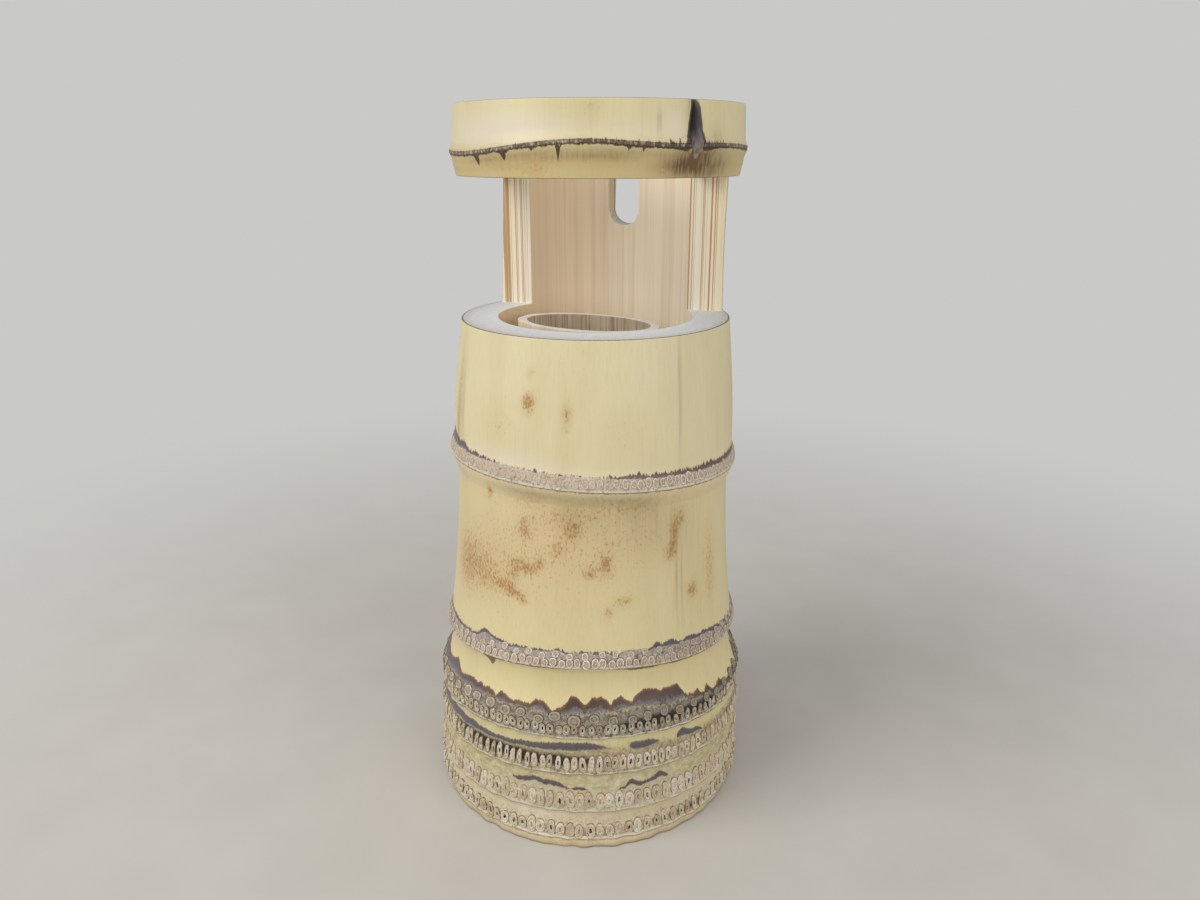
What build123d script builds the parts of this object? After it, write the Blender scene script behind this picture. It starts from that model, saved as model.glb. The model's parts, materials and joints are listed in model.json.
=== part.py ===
from build123d import *
import os
from math import cos, radians, sin, tan

# Overall heights, in millimetres, from the sawn foot
culm_height = 260.0
ring_height = 23.0
window_height = 49.5

# The culm's axis leans towards +X, in degrees. All sawn faces stay level.
culm_lean = 1.04

# Outside radii of the culm between its nodes
lower_internode_radius = 56.5
middle_internode_radius = 53.3
rim_radius = 49.4
pillar_radius = 47.8
ring_underside_radius = 49.9
top_radius = 50.2

# Lengths of the internodes above the root nodes and above the lower node
lower_internode_length = 16.3
middle_internode_length = 54.5

# Root nodes, close together at the foot: heights of the lips, of the bands over them, and the stem's taper
root_node_heights = [2.7, 12.8, 28.5, 42.7]
root_band_heights = [6.5, 8.5, 8.5, 8.5]
root_node_radius = 62.1
root_node_taper = 0.45

# Foot: below the roots it flares out towards the front
foot_flare_radius = 61.0
foot_flare_shift = 2.8
foot_flare_heading = -76.0
foot_flare_height = 3.6
foot_flare_taper = 25.0

# Stubs of the trimmed roots, in one row on each root node's band, on a ground that stands out of the band
root_stub_counts = [106, 106, 130, 130]
root_stub_widths = [2.8, 2.8, 2.4, 2.4]
root_stub_height = 4.4
root_stub_ground = 0.15
root_stub_proud = 0.6

# Lower node, middle node and the ring's node: the sheath lip's radius and the band above it
lower_node_radius = 58.1
lower_band_height = 6.0
middle_node_radius = 54.7
middle_band_height = 5.5
ring_node_below_top = 13.0
ring_node_radius = 51.8
ring_band_height = 3.0

# Shape of a node: the internode stands back below the lip and above the band
root_step_below = 0.9
root_step_above = 0.7
node_step_below = 1.2
node_step_above = 1.7
middle_step_below = 2.9
ring_step_below = 0.9
ring_step_above = 0.8
short_undercut = 2.2
long_undercut = 7.0
band_bulge = 0.35

# Bored chamber, with what is left of the knocked-out node walls, and the hollow in the foot
bore_radius = 36.0
node_wall_ledge = 2.0
node_wall_thickness = 4.0
root_hollow_radius = 11.0
root_hollow_depth = 14.0

# Window: its back, and the pillar's planed sides to the left and right of the bore's middle
window_back = 18.2
pillar_left = 41.6
pillar_left_foot = 43.4
pillar_right = 44.3

# Nail hole
nail_hole_width = 12.4
nail_hole_height = 24.4
nail_hole_into_ring = 4.4
nail_hole_off_middle = 1.1

# Water tube: it stands off the bore's middle by a share of its clearance
tube_clearance = 9.7
tube_off_middle = 0.3
tube_off_heading = 223.5
tube_wall = 3.6
tube_foot = 6.0
tube_floor = 5.0
tube_below_rim = 2.6
tube_rim_slope = 4.4
tube_rim_heading = 55.0

# Heights that follow from the lengths above
root_zone_top = root_node_heights[-1] + root_band_heights[-1]
lower_node_height = root_zone_top + lower_internode_length + short_undercut
floor_height = lower_node_height + lower_band_height
middle_node_height = floor_height + middle_internode_length + long_undercut
rim_height = culm_height - ring_height - window_height
window_middle = rim_height + window_height / 2
ring_underside = culm_height - ring_height
ring_node_height = culm_height - ring_node_below_top
nail_hole_middle = ring_underside + nail_hole_into_ring - nail_hole_height / 2

# Places and radii that follow
lean = radians(culm_lean)
bore_x = rim_height * tan(lean)
nail_hole_x = ring_underside * tan(lean) + nail_hole_off_middle
tube_radius = bore_radius - tube_clearance
tube_inner_radius = tube_radius - tube_wall
tube_top = rim_height - tube_below_rim
tube_x = bore_x + tube_off_middle * tube_clearance * cos(radians(tube_off_heading))
tube_y = tube_off_middle * tube_clearance * sin(radians(tube_off_heading))
flare_x = foot_flare_shift * cos(radians(foot_flare_heading))
flare_y = foot_flare_shift * sin(radians(foot_flare_heading))
saw_allowance = 2 * root_node_radius * sin(lean)
cut_reach = 2 * root_node_radius


def node_outline(lip_height, lip_radius, undercut, step_below, band_height, step_above):
    """Points of one node going up: under the lip, on the lip, on the shoulder over its band."""
    under = (lip_radius - step_below, lip_height - undercut)
    lip = (lip_radius, lip_height)
    shoulder = (lip_radius - step_above, lip_height + band_height)
    return under, lip, shoulder


def draw_node(under, lip, shoulder):
    """Draws one node: the underside of its lip, then the band, which swells a little."""
    crown = ((lip[0] + shoulder[0]) / 2 + band_bulge, (lip[1] + shoulder[1]) / 2)
    Line(under, lip)
    ThreePointArc(lip, crown, shoulder)


def halfway(a, b):
    """Height halfway between two outline points."""
    return (a[1] + b[1]) / 2


root_nodes = [
    node_outline(
        lip_height,
        root_node_radius - i * root_node_taper,
        short_undercut,
        root_step_below,
        band_height,
        root_step_above,
    )
    for i, (lip_height, band_height) in enumerate(zip(root_node_heights, root_band_heights))
]
lower_node = node_outline(
    lower_node_height,
    lower_node_radius,
    short_undercut,
    node_step_below,
    lower_band_height,
    node_step_above,
)
middle_node = node_outline(
    middle_node_height,
    middle_node_radius,
    long_undercut,
    middle_step_below,
    middle_band_height,
    node_step_above,
)
ring_node = node_outline(
    ring_node_height,
    ring_node_radius,
    short_undercut,
    ring_step_below,
    ring_band_height,
    ring_step_above,
)

# Culm: the outline is turned about the leaning axis, then sawn, bored and cut
culm_axis = Axis((0, 0, 0), (sin(lean), 0, cos(lean)))
culm_plane = Plane(origin=(0, 0, 0), x_dir=(cos(lean), 0, -sin(lean)), z_dir=(0, -1, 0))

with BuildPart() as culm_body:
    with BuildSketch(culm_plane):
        with BuildLine():
            foot = (root_nodes[0][0][0], -saw_allowance)
            Line((0, -saw_allowance), foot)
            start = foot
            for node in root_nodes:
                Line(start, node[0])
                draw_node(*node)
                start = node[2]
            Spline(start, (lower_internode_radius, halfway(start, lower_node[0])), lower_node[0])
            draw_node(*lower_node)
            start = lower_node[2]
            Spline(start, (middle_internode_radius, halfway(start, middle_node[0])), middle_node[0])
            draw_node(*middle_node)
            start = middle_node[2]
            pillar_outline = [(rim_radius, rim_height), (pillar_radius, window_middle)]
            Spline(start, *pillar_outline, (ring_underside_radius, ring_underside), ring_node[0])
            draw_node(*ring_node)
            top = (top_radius, culm_height + saw_allowance)
            Polyline(ring_node[2], top, (0, top[1]), (0, -saw_allowance))
        make_face()
    revolve(axis=culm_axis)
    split(bisect_by=Plane.XY, keep=Keep.TOP)
    split(bisect_by=Plane.XY.offset(culm_height), keep=Keep.BOTTOM)

    # Flare of the foot, narrower going up
    with BuildSketch(Plane.XY):
        with Locations((flare_x, flare_y)):
            Circle(foot_flare_radius)
    extrude(amount=foot_flare_height, taper=foot_flare_taper)

    # Upright chamber from the floor to the top
    with BuildSketch(Plane.XY.offset(floor_height)):
        with Locations((bore_x, 0)):
            Circle(bore_radius)
    extrude(amount=culm_height - floor_height, mode=Mode.SUBTRACT)

    # Ledges left where the middle node's and the ring's walls were knocked out
    for ledge_height in (middle_node_height, ring_node_height):
        with BuildSketch(Plane.XY.offset(ledge_height)):
            with Locations((bore_x, 0)):
                Circle(bore_radius)
                Circle(bore_radius - node_wall_ledge, mode=Mode.SUBTRACT)
        extrude(amount=node_wall_thickness)

    # Window between the rim and the ring, open at the front and at both sides
    with BuildSketch(Plane.XY.offset(rim_height)):
        with Locations((0, window_back)):
            Rectangle(2 * cut_reach, cut_reach, align=(Align.CENTER, Align.MAX))
    extrude(amount=window_height, mode=Mode.SUBTRACT)

    # The pillar's sides are planed, the right one upright and the left one wider at its foot
    with BuildSketch(Plane.XZ):
        with BuildLine():
            left_foot = (bore_x - pillar_left_foot, rim_height)
            left_head = (bore_x - pillar_left, ring_underside)
            left_outside = bore_x - cut_reach
            Polyline((left_outside, rim_height), left_foot, left_head, (left_outside, ring_underside), close=True)
        make_face()
    extrude(amount=cut_reach, both=True, mode=Mode.SUBTRACT)
    with BuildSketch(Plane.XY.offset(rim_height)):
        with Locations((bore_x + pillar_right, 0)):
            Rectangle(cut_reach, 2 * cut_reach, align=(Align.MIN, Align.CENTER))
    extrude(amount=window_height, mode=Mode.SUBTRACT)

    # Upright nail hole with round ends through the pillar, its top behind the ring
    with BuildSketch(Plane.XZ.offset(-window_back)):
        with Locations((nail_hole_x, nail_hole_middle)):
            SlotOverall(nail_hole_height, nail_hole_width, rotation=90)
    extrude(amount=-cut_reach, mode=Mode.SUBTRACT)

    # Small natural hollow in the sawn foot
    with BuildSketch(Plane.XY):
        Circle(root_hollow_radius)
    extrude(amount=root_hollow_depth, mode=Mode.SUBTRACT)

    # Rows of root stubs, about the middle of each root node's band
    for (_, lip, shoulder), stub_count, stub_width in zip(root_nodes, root_stub_counts, root_stub_widths):
        ground_radius = (lip[0] + shoulder[0]) / 2 + band_bulge + root_stub_ground
        stub_middle = ground_radius + root_stub_proud - stub_width / 2
        row_height = halfway(lip, shoulder) - root_stub_height / 2
        row_start = culm_axis.direction * row_height
        with BuildSketch(Plane(origin=row_start, x_dir=culm_plane.x_dir, z_dir=culm_axis.direction)):
            Circle(ground_radius)
            with PolarLocations(stub_middle, stub_count):
                Circle(stub_width / 2)
        extrude(amount=root_stub_height)

# Water tube: it stands on the floor, and its rim is sawn a little out of square
slope = radians(tube_rim_slope)
heading = radians(tube_rim_heading)
tube_rim_normal = (sin(slope) * cos(heading), sin(slope) * sin(heading), cos(slope))
tube_rim = Plane(origin=(tube_x, tube_y, tube_top), z_dir=tube_rim_normal)
tube_stock = tube_top - floor_height + tube_radius

with BuildPart() as inner_tube:
    with BuildSketch(Plane.XY.offset(floor_height)):
        with Locations((tube_x, tube_y)):
            Circle(tube_radius)
    extrude(amount=tube_stock)

    # Space for the water, above the tube's own node wall
    with BuildSketch(Plane.XY.offset(floor_height + tube_foot + tube_floor)):
        with Locations((tube_x, tube_y)):
            Circle(tube_inner_radius)
    extrude(amount=tube_stock, mode=Mode.SUBTRACT)

    # Hollow foot, below that wall
    with BuildSketch(Plane.XY.offset(floor_height)):
        with Locations((tube_x, tube_y)):
            Circle(tube_inner_radius)
    extrude(amount=tube_foot, mode=Mode.SUBTRACT)
    split(bisect_by=tube_rim, keep=Keep.BOTTOM)

os.makedirs("parts", exist_ok=True)
culm_body.part.label = "culm_body"
export_step(culm_body.part, "parts/culm_body.step")
inner_tube.part.label = "inner_tube"
export_step(inner_tube.part, "parts/inner_tube.step")

print("rim", rim_height, "floor", floor_height, "lower and middle lips", lower_node_height, middle_node_height)
print("bore x", round(bore_x, 3), "tube at", round(tube_x, 3), round(tube_y, 3), "inner", tube_inner_radius)
print("nail hole x", round(nail_hole_x, 3), "middle", nail_hole_middle)
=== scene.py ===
# %% [markdown]
# # A bamboo flower vase
# The vase is one length of culm, cut from the root end of a thick bamboo. A window is sawn out of it, so that
# a vessel, a back pillar and a ring are left in one piece, and a loose water tube stands in the bore.
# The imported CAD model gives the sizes, and this script grows the natural surface over it.

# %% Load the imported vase
import json
import math
import bmesh
import bpy
import numpy as np
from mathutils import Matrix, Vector
from mathutils.bvhtree import BVHTree

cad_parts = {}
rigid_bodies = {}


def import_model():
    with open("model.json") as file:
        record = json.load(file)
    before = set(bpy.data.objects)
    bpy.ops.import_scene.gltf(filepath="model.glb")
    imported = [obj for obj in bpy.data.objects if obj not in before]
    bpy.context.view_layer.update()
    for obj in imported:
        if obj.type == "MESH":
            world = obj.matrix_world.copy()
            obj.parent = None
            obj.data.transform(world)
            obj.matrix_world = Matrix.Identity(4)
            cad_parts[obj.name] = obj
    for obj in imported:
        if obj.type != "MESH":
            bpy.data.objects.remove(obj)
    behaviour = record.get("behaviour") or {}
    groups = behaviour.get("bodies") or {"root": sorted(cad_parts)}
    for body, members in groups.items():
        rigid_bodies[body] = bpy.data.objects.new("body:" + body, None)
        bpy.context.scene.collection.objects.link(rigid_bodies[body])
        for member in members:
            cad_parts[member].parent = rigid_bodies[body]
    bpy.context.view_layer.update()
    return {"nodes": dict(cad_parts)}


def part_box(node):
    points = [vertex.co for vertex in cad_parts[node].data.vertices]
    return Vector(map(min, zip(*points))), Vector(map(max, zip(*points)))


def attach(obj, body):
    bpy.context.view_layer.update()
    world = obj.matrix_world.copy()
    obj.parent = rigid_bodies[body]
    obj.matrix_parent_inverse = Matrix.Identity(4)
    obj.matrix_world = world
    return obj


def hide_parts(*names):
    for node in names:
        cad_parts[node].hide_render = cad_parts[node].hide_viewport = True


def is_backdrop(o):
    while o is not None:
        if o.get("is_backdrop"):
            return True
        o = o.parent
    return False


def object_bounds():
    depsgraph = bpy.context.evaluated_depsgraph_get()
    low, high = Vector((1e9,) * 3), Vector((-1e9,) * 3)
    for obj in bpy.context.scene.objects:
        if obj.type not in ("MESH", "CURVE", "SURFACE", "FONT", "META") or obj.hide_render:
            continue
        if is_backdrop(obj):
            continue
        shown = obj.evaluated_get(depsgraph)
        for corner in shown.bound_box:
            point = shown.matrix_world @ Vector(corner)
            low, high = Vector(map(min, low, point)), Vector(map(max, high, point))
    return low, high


for leftover in list(bpy.data.objects):
    bpy.data.objects.remove(leftover)
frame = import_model()
MM = 0.001

# %% [markdown]
# ## The camera
# The photograph was taken from close by and from above, a little to the right of the window's middle. The
# lens and the place were solved from the sawn edges, which are level circles on the real vase.

# %% Camera
LENS_TURN = math.radians(14.5)
LENS_DIP = math.radians(18.3)
SIDE_STEP, DISTANCE, EYE_HEIGHT = 4.85, 334.1, 244.6

camera_data = bpy.data.cameras.new("camera")
camera_data.sensor_width = 36
camera_data.lens = 27
camera = bpy.data.objects.new("camera", camera_data)
camera.location = Vector((
    SIDE_STEP * math.cos(LENS_TURN) + DISTANCE * math.sin(LENS_TURN),
    SIDE_STEP * math.sin(LENS_TURN) - DISTANCE * math.cos(LENS_TURN),
    EYE_HEIGHT,
)) * MM
camera.rotation_euler = (math.pi / 2 - LENS_DIP, 0, LENS_TURN)
bpy.context.scene.collection.objects.link(camera)
bpy.context.scene.camera = camera
print("camera at", [round(v, 4) for v in camera.location])

# %% [markdown]
# ## Measuring the solid
# The dressed culm has to lie on the CAD solid, so its sizes are taken from the solid itself. A BVH tree
# answers the question of where a ray first meets a mesh, which works like a depth gauge: from the back for
# the outline, from the middle for the bore, and downwards for the sawn levels.

# %% Gauge the culm
def solid_tree(node_name):
    """The CAD node's faces, ready to be met by rays."""
    mesh = frame["nodes"][node_name].data
    return BVHTree.FromPolygons([v.co for v in mesh.vertices], [tuple(p.vertices) for p in mesh.polygons])


def gauge(tree, start, direction):
    """The first point that a ray meets, in millimetres, or not-a-number where it meets nothing."""
    met = tree.ray_cast(Vector(start) * MM, Vector(direction))[0]
    return np.full(3, np.nan) if met is None else np.array(met) / MM


culm_solid = solid_tree("culm_body")
DOWN, UP, BACK, FRONT, LEFT, RIGHT = (0, 0, -1), (0, 0, 1), (0, 1, 0), (0, -1, 0), (-1, 0, 0), (1, 0, 0)
FAR = 200.0
# How far a gauge is set past a face, and away from an edge
NUDGE, AWAY = 1.0, 5.0
in_front_wall = -43.0
TOP = gauge(culm_solid, (0, in_front_wall, 2 * FAR), DOWN)[2]
RING = gauge(culm_solid, (0, in_front_wall, TOP - NUDGE), DOWN)[2]
RIM = gauge(culm_solid, (0, in_front_wall, RING - NUDGE), DOWN)[2]
LEAN = np.mean([
    (gauge(culm_solid, (-FAR, 0, z), RIGHT)[0] + gauge(culm_solid, (FAR, 0, z), LEFT)[0]) / (2 * z)
    for z in np.linspace(RIM * 0.5, RIM * 0.95, 12)
])
bore_left, bore_right = [gauge(culm_solid, (0, 0, RIM - AWAY), side)[0] for side in (LEFT, RIGHT)]
BORE_X, BORE = (bore_left + bore_right) / 2, (bore_right - bore_left) / 2
FLOOR = gauge(culm_solid, (BORE_X, 0, RIM), DOWN)[2]
CUT = gauge(culm_solid, (BORE_X + BORE + AWAY, -FAR, (RIM + RING) / 2), BACK)[1]
side_z = np.array([RIM + NUDGE, RING - NUDGE])
side_left, side_right = [
    [gauge(culm_solid, (side * FAR, CUT + 0.1, z), inwards)[0] for z in side_z]
    for side, inwards in ((-1, RIGHT), (1, LEFT))
]
HOLLOW_DEPTH = gauge(culm_solid, (0, 0, -FAR), UP)[2]
HOLLOW = gauge(culm_solid, (0, 0, HOLLOW_DEPTH / 2), RIGHT)[0]
print("top, ring, rim, floor:", [round(float(v), 2) for v in (TOP, RING, RIM, FLOOR)])
print("lean %.4f, bore %.2f at %.2f" % (LEAN, BORE, BORE_X))
print("pillar's sides", np.round(side_left, 2), np.round(side_right, 2), "its front at %.2f" % CUT)

# %% [markdown]
# The outline is read at the back, a quarter of a millimetre apart. The nail hole lies there too, so beside it
# the outline is read a little further round. One round of rays at the foot finds how far that flares. Rays
# from the middle of the bore find the ledges, which are what is left of the knocked-out node walls, and rays
# inside the nail hole find its width.

# %% Read the outline, the ledges and the nail hole
STEP = 0.25
BEHIND, BESIDE = 90, 115


def radius_at(angle, z):
    """Radius of the solid about its leaning axis, at an angle in degrees."""
    x, y = math.cos(math.radians(angle)), math.sin(math.radians(angle))
    met = gauge(culm_solid, (LEAN * z + FAR * x, FAR * y, z), (-x, -y, 0))
    return math.hypot(met[0] - LEAN * z, met[1])


outline_z = np.arange(STEP, TOP, STEP)
outline_r = np.array([radius_at(BEHIND, z) for z in outline_z])
beside_r = np.array([radius_at(BESIDE, z) for z in outline_z])
outline_r = np.where(outline_r > BORE + AWAY, outline_r, beside_r)
flare_angle = np.arange(-180, 180, 4)
flare = np.array([max(radius_at(angle, STEP) - outline_r[0], 0) for angle in flare_angle])
print("the foot flares by %.2f at most" % flare.max())

through = [
    z for z in np.arange(RIM, TOP, STEP) if np.isnan(gauge(culm_solid, (LEAN * RING, 0, z), BACK)[0])
]
HOLE_Z, HOLE_TALL = (through[0] + through[-1]) / 2, (through[-1] - through[0] + STEP) / 2
in_hole = (LEAN * RING, (BORE + outline_r.min()) / 2, HOLE_Z)
hole_left, hole_right = [gauge(culm_solid, in_hole, side)[0] for side in (LEFT, RIGHT)]
HOLE_X, HOLE_WIDE = (hole_left + hole_right) / 2, (hole_right - hole_left) / 2

wall_z = np.array([z for z in np.arange(FLOOR + STEP, TOP, STEP) if not RIM < z < RING])
wall_r = np.array([-gauge(culm_solid, (BORE_X, 0, z), FRONT)[1] for z in wall_z])
on_ledge = wall_r < BORE - 0.5
steps = np.flatnonzero(np.diff(on_ledge.astype(int)))
LEDGE = BORE - wall_r[on_ledge].mean()
ledges = [(wall_z[a] + STEP / 2, wall_z[b] + STEP / 2) for a, b in zip(steps[::2], steps[1::2])]
print("nail hole", [round(float(v), 2) for v in (HOLE_X, HOLE_Z, HOLE_WIDE, HOLE_TALL)])
print("ledges", [[round(float(v), 1) for v in pair] for pair in ledges], "deep", round(float(LEDGE), 2))

# %% [markdown]
# ## The nodes wander
# On real bamboo a node is not a level ring: the scar of the sheath rises and dips round the culm. Each node
# here has the height of its lip in the solid, the height of its band of root scars, how far its marks reach
# below the lip, and a wave made of a level shift, a tilt, a saddle and single bumps. Angles are in degrees: 0
# is +X and -90 is the front.

# %% Nodes
NODES = {
    "root_4": dict(lip=2.7, band=6.8, reach=2.7, shift=0.0, tilt=(0.0, 0), saddle=(0.5, -75)),
    "root_3": dict(lip=12.8, band=9.0, reach=2.2, shift=0.0, tilt=(0.4, -110), saddle=(1.2, -75)),
    "root_2": dict(lip=28.5, band=9.0, reach=2.0, shift=0.0, tilt=(0.2, -60), saddle=(1.7, -76)),
    "root_1": dict(lip=42.7, band=8.5, reach=2.4, shift=0.0, tilt=(0.0, 0), saddle=(1.5, -72),
                   bumps=[(-108, 40, 1.2), (-54, 22, 0.8)]),
    "lower": dict(lip=69.7, band=6.0, reach=6.0, shift=-0.5, tilt=(0.4, -40), saddle=(2.6, -79)),
    "middle": dict(lip=137.2, band=5.2, reach=12.0, shift=-0.3, tilt=(2.2, -160), saddle=(0.3, -80)),
    "ring": dict(lip=247.0, band=1.1, reach=8.0, shift=-1.7, tilt=(0.0, 0), saddle=(0.0, 0),
                 bumps=[(-80, 26, 2.1), (-135, 24, -1.5), (-25, 25, 1.0)]),
}
LIPS = np.array([node["lip"] for node in NODES.values()])
BANDS = np.array([node["band"] for node in NODES.values()])
LEVELS = [0.0, RIM, RING, TOP]

# %% [markdown]
# Above and below a node its wave fades out towards the next node, and none is left at the sawn faces.

# %% Waves of the nodes
FADE = 3.0


def bell(value, width):
    """A rounded bump of height 1 about zero."""
    return np.exp(-((value / width) ** 2))


def turned(angle):
    """The same angle between -180 and 180 degrees."""
    return (np.asarray(angle) + 180) % 360 - 180


def node_wave(name, angle):
    """How far a node stands above its level place, in millimetres, at angles in degrees."""
    tilt, tilt_to = NODES[name]["tilt"]
    saddle, saddle_to = NODES[name]["saddle"]
    rise = tilt * np.cos(np.radians(angle - tilt_to)) + saddle * np.cos(np.radians(2 * (angle - saddle_to)))
    for at, width, bump in NODES[name].get("bumps", []):
        rise = rise + bump * bell(turned(angle - at), width)
    return NODES[name]["shift"] + rise


def wave(angle, height):
    """The shift of any spot on the skin. It fades from node to node and dies out at the sawn faces."""
    total = np.zeros(np.broadcast(angle, height).shape)
    for k, name in enumerate(NODES):
        lip, top = LIPS[k], LIPS[k] + BANDS[k]
        below = max([z for z in LEVELS if z < lip] + list(LIPS[:k] + BANDS[:k]))
        above = min([z for z in LEVELS if z > lip] + list(LIPS[k + 1:]))
        first, last = lip - min(FADE, (lip - below) / 2), top + min(FADE, (above - top) / 2)
        share = np.interp(height, [below, first, last, above], [0, 1, 1, 0])
        total = total + share * node_wave(name, angle)
    return total


left_front_right = np.array([-160.0, -90.0, -20.0])
middle_lip = NODES["middle"]["lip"] + node_wave("middle", left_front_right)
print("middle node at the left, front and right:", np.round(middle_lip, 1))

# %% [markdown]
# ## The skin's shape
# One function gives the skin's radius at any angle and height: the solid's outline, the slow unevenness of a
# grown stem, lumps among the roots, and the groove over the bud on the ring. Another takes off what the plane
# took from the pillar's sides, in full from a saw's width inside the window.

# %% Radius of the skin
BUD_ANGLE = -39.3
SAW_STEP = 0.5
FLARE_TALL = 4.2
GROOVE_DEEP, GROOVE_WIDE = 1.3, 1.9


def ease(value, low, high):
    """0 below low, 1 above high, and an S-curve between."""
    t = np.clip((value - low) / (high - low), 0, 1)
    return t * t * (3 - 2 * t)


def ripple(turn, *waves):
    """A sum of waves round the stem, each given by its size, its number round the stem and its phase."""
    return sum(size * np.sin(number * turn + phase) for size, number, phase in waves)


def grown_radius(angle, height):
    """Radius of the natural stem about its leaning axis, in millimetres."""
    a = np.radians(angle)
    grown = ripple(a, (0.10, 3, height / 41), (0.07, 5, 2 - height / 23))
    lumps = ripple(a, (0.16, 31, height / 1.9), (0.16, 47, 1 - height / 1.4))
    rooty = 1 - ease(height, 46, 60)
    over_lip = ease(height, NODES["ring"]["lip"] + 0.5, NODES["ring"]["lip"] + 4)
    groove = GROOVE_DEEP * bell(turned(angle - BUD_ANGLE), GROOVE_WIDE) * over_lip
    worn = 1 + ripple(a, (0.06, 11, 1), (0.07, 37, 0), (0.06, 61, 2))
    flared = np.interp(turned(angle), flare_angle, flare, period=360)
    foot = worn * flared * (1 - ease(height, 0, FLARE_TALL))
    return np.interp(height, outline_z, outline_r) + grown + rooty * lumps - groove + foot


def planed_off(angle, height):
    """How much was planed off the pillar's sides, in millimetres along the radius."""
    across = np.cos(np.radians(angle))
    across = np.where(across < 0, np.minimum(across, -0.2), np.maximum(across, 0.2))
    along = (height - side_z[0]) / (side_z[1] - side_z[0])
    left, right = [ends[0] + along * (ends[1] - ends[0]) for ends in (side_left, side_right)]
    limit = (np.where(across < 0, left, right) - LEAN * height) / across
    in_window = ease(height, RIM, RIM + SAW_STEP) * (1 - ease(height, RING - SAW_STEP, RING))
    return in_window * np.maximum(grown_radius(angle, height) - limit, 0)


def skin_radius(angle, height):
    """Radius of the finished outside about the leaning axis, in millimetres."""
    return grown_radius(angle, height) - planed_off(angle, height)


def skin_point(angle, height):
    """Places on the skin, in millimetres, for angles in degrees and straightened heights."""
    z = height + wave(angle, height)
    radius = skin_radius(angle, height)
    return LEAN * z + radius * np.cos(np.radians(angle)), radius * np.sin(np.radians(angle)), z


print("radius at the rim, front:", round(float(skin_radius(-90.0, RIM)), 2))

# %% [markdown]
# ## A grid for the culm
# The culm could be cut with Boolean modifiers, but those leave long thin faces that shade badly. Here it is a
# grid that was planned for the cuts: columns round the stem, four of which run exactly along the sawn and
# planed edges of the pillar, and rows up the stem, some of which lie exactly at the rim, the ring's underside
# and the top. Rows stand close where the outline bends and wide apart where it is straight.

# %% Rows
ROOT_STEP, STEM_STEP, SLACK, CLOSEST, TRIAL = 1.4, 4.0, 0.04, 0.6, 0.1


def thin_rows(first, last, widest):
    """Heights from first to last, chosen so that straight lines between them stay on the outline."""
    gap = last - first
    tries = np.linspace(first, last, max(3, int(gap / TRIAL)))
    ends = np.interp([first, last], outline_z, outline_r)
    miss = np.abs(np.interp(tries, outline_z, outline_r) - np.interp(tries, [first, last], ends))
    if gap < 2 * CLOSEST or (miss.max() < SLACK and gap <= widest):
        return [last]
    middle = tries[miss.argmax()] if miss.max() > SLACK else (first + last) / 2
    middle = min(max(middle, first + CLOSEST), last - CLOSEST)
    return thin_rows(first, middle, widest) + thin_rows(middle, last, widest)


rows = [0.0]
for stop, widest in (
    (NODES["lower"]["lip"] + 12, ROOT_STEP), (RIM, STEM_STEP), (RIM + SAW_STEP, STEM_STEP),
    (RING - SAW_STEP, STEM_STEP), (RING, STEM_STEP), (TOP, 2 * ROOT_STEP),
):
    rows += thin_rows(rows[-1], stop, widest)
rows = np.array(rows)
rim_row, ring_row = [int(np.abs(rows - z).argmin()) for z in (RIM, RING)]

# %% [markdown]
# The pillar's edges lie where a plane meets the skin. The skin's radius depends on the angle that is looked
# for, so each angle is worked out in a few rounds until it settles.

# %% Columns
COLUMNS, PILLAR, PLANED = 420, 160, 6
ROUNDS = 8


def edge_angle(height, right):
    """Angle at which the skin meets the sawn plane of the pillar, on its right or left side."""
    height = np.clip(height, RIM, RING)
    angle = np.full(len(height), 20.0 if right else 160.0)
    for _ in range(ROUNDS):
        lift = np.degrees(np.arcsin(CUT / skin_radius(angle, height)))
        angle = lift if right else 180 - lift
    return angle


def plane_angle(height, right):
    """Angle at which a planed side of the pillar runs out into the natural skin."""
    height = np.clip(height, RIM + SAW_STEP, RING - SAW_STEP)
    plane = np.interp(height, side_z, side_right if right else side_left)
    angle = edge_angle(height, right)
    for _ in range(ROUNDS):
        angle = np.degrees(np.arccos((plane - LEAN * height) / grown_radius(angle, height)))
    return angle


column = np.arange(COLUMNS)
right, left = edge_angle(rows, True), edge_angle(rows, False)
turns = np.column_stack([right, plane_angle(rows, True), plane_angle(rows, False), left, right + 360])
stops = [0, PLANED, PILLAR - PLANED, PILLAR, COLUMNS]
skin_angle = np.array([np.interp(column, stops, turn) for turn in turns])
skin_height = np.repeat(rows[:, None], COLUMNS, 1)
bore_edge = math.degrees(math.asin(CUT / BORE))
bore_angle = np.interp(column, [0, PILLAR, COLUMNS], [bore_edge, 180 - bore_edge, 360 + bore_edge])
print(len(rows), "rows,", COLUMNS, "columns,", ring_row - rim_row, "rows of cells in the window")

# %% [markdown]
# Points go into one list together with their angle, their height and their depth in the wall. Each call gives
# back the points' numbers in the shape of the grid, so four-sided faces can be laid between neighbours. Every
# face remembers its finish: natural skin, sawn end grain, split grain, or the scraped inside.

# %% Points and faces
SKIN, SAWN, SPLIT, INSIDE = range(4)
X, Z, ANGLE, HEIGHT, DEPTH = 0, 2, 3, 4, 5
spots, facets, finishes = [], [], []


def put(x, y, z, angle=0.0, height=0.0, depth=0.0):
    """Adds points with their notes, and gives their numbers in the same shape."""
    notes = np.broadcast_arrays(x, y, z, angle, height, depth)
    first = sum(len(s) for s in spots)
    spots.append(np.stack([n.ravel() for n in notes], 1))
    return np.arange(first, first + notes[0].size).reshape(notes[0].shape)


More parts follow.
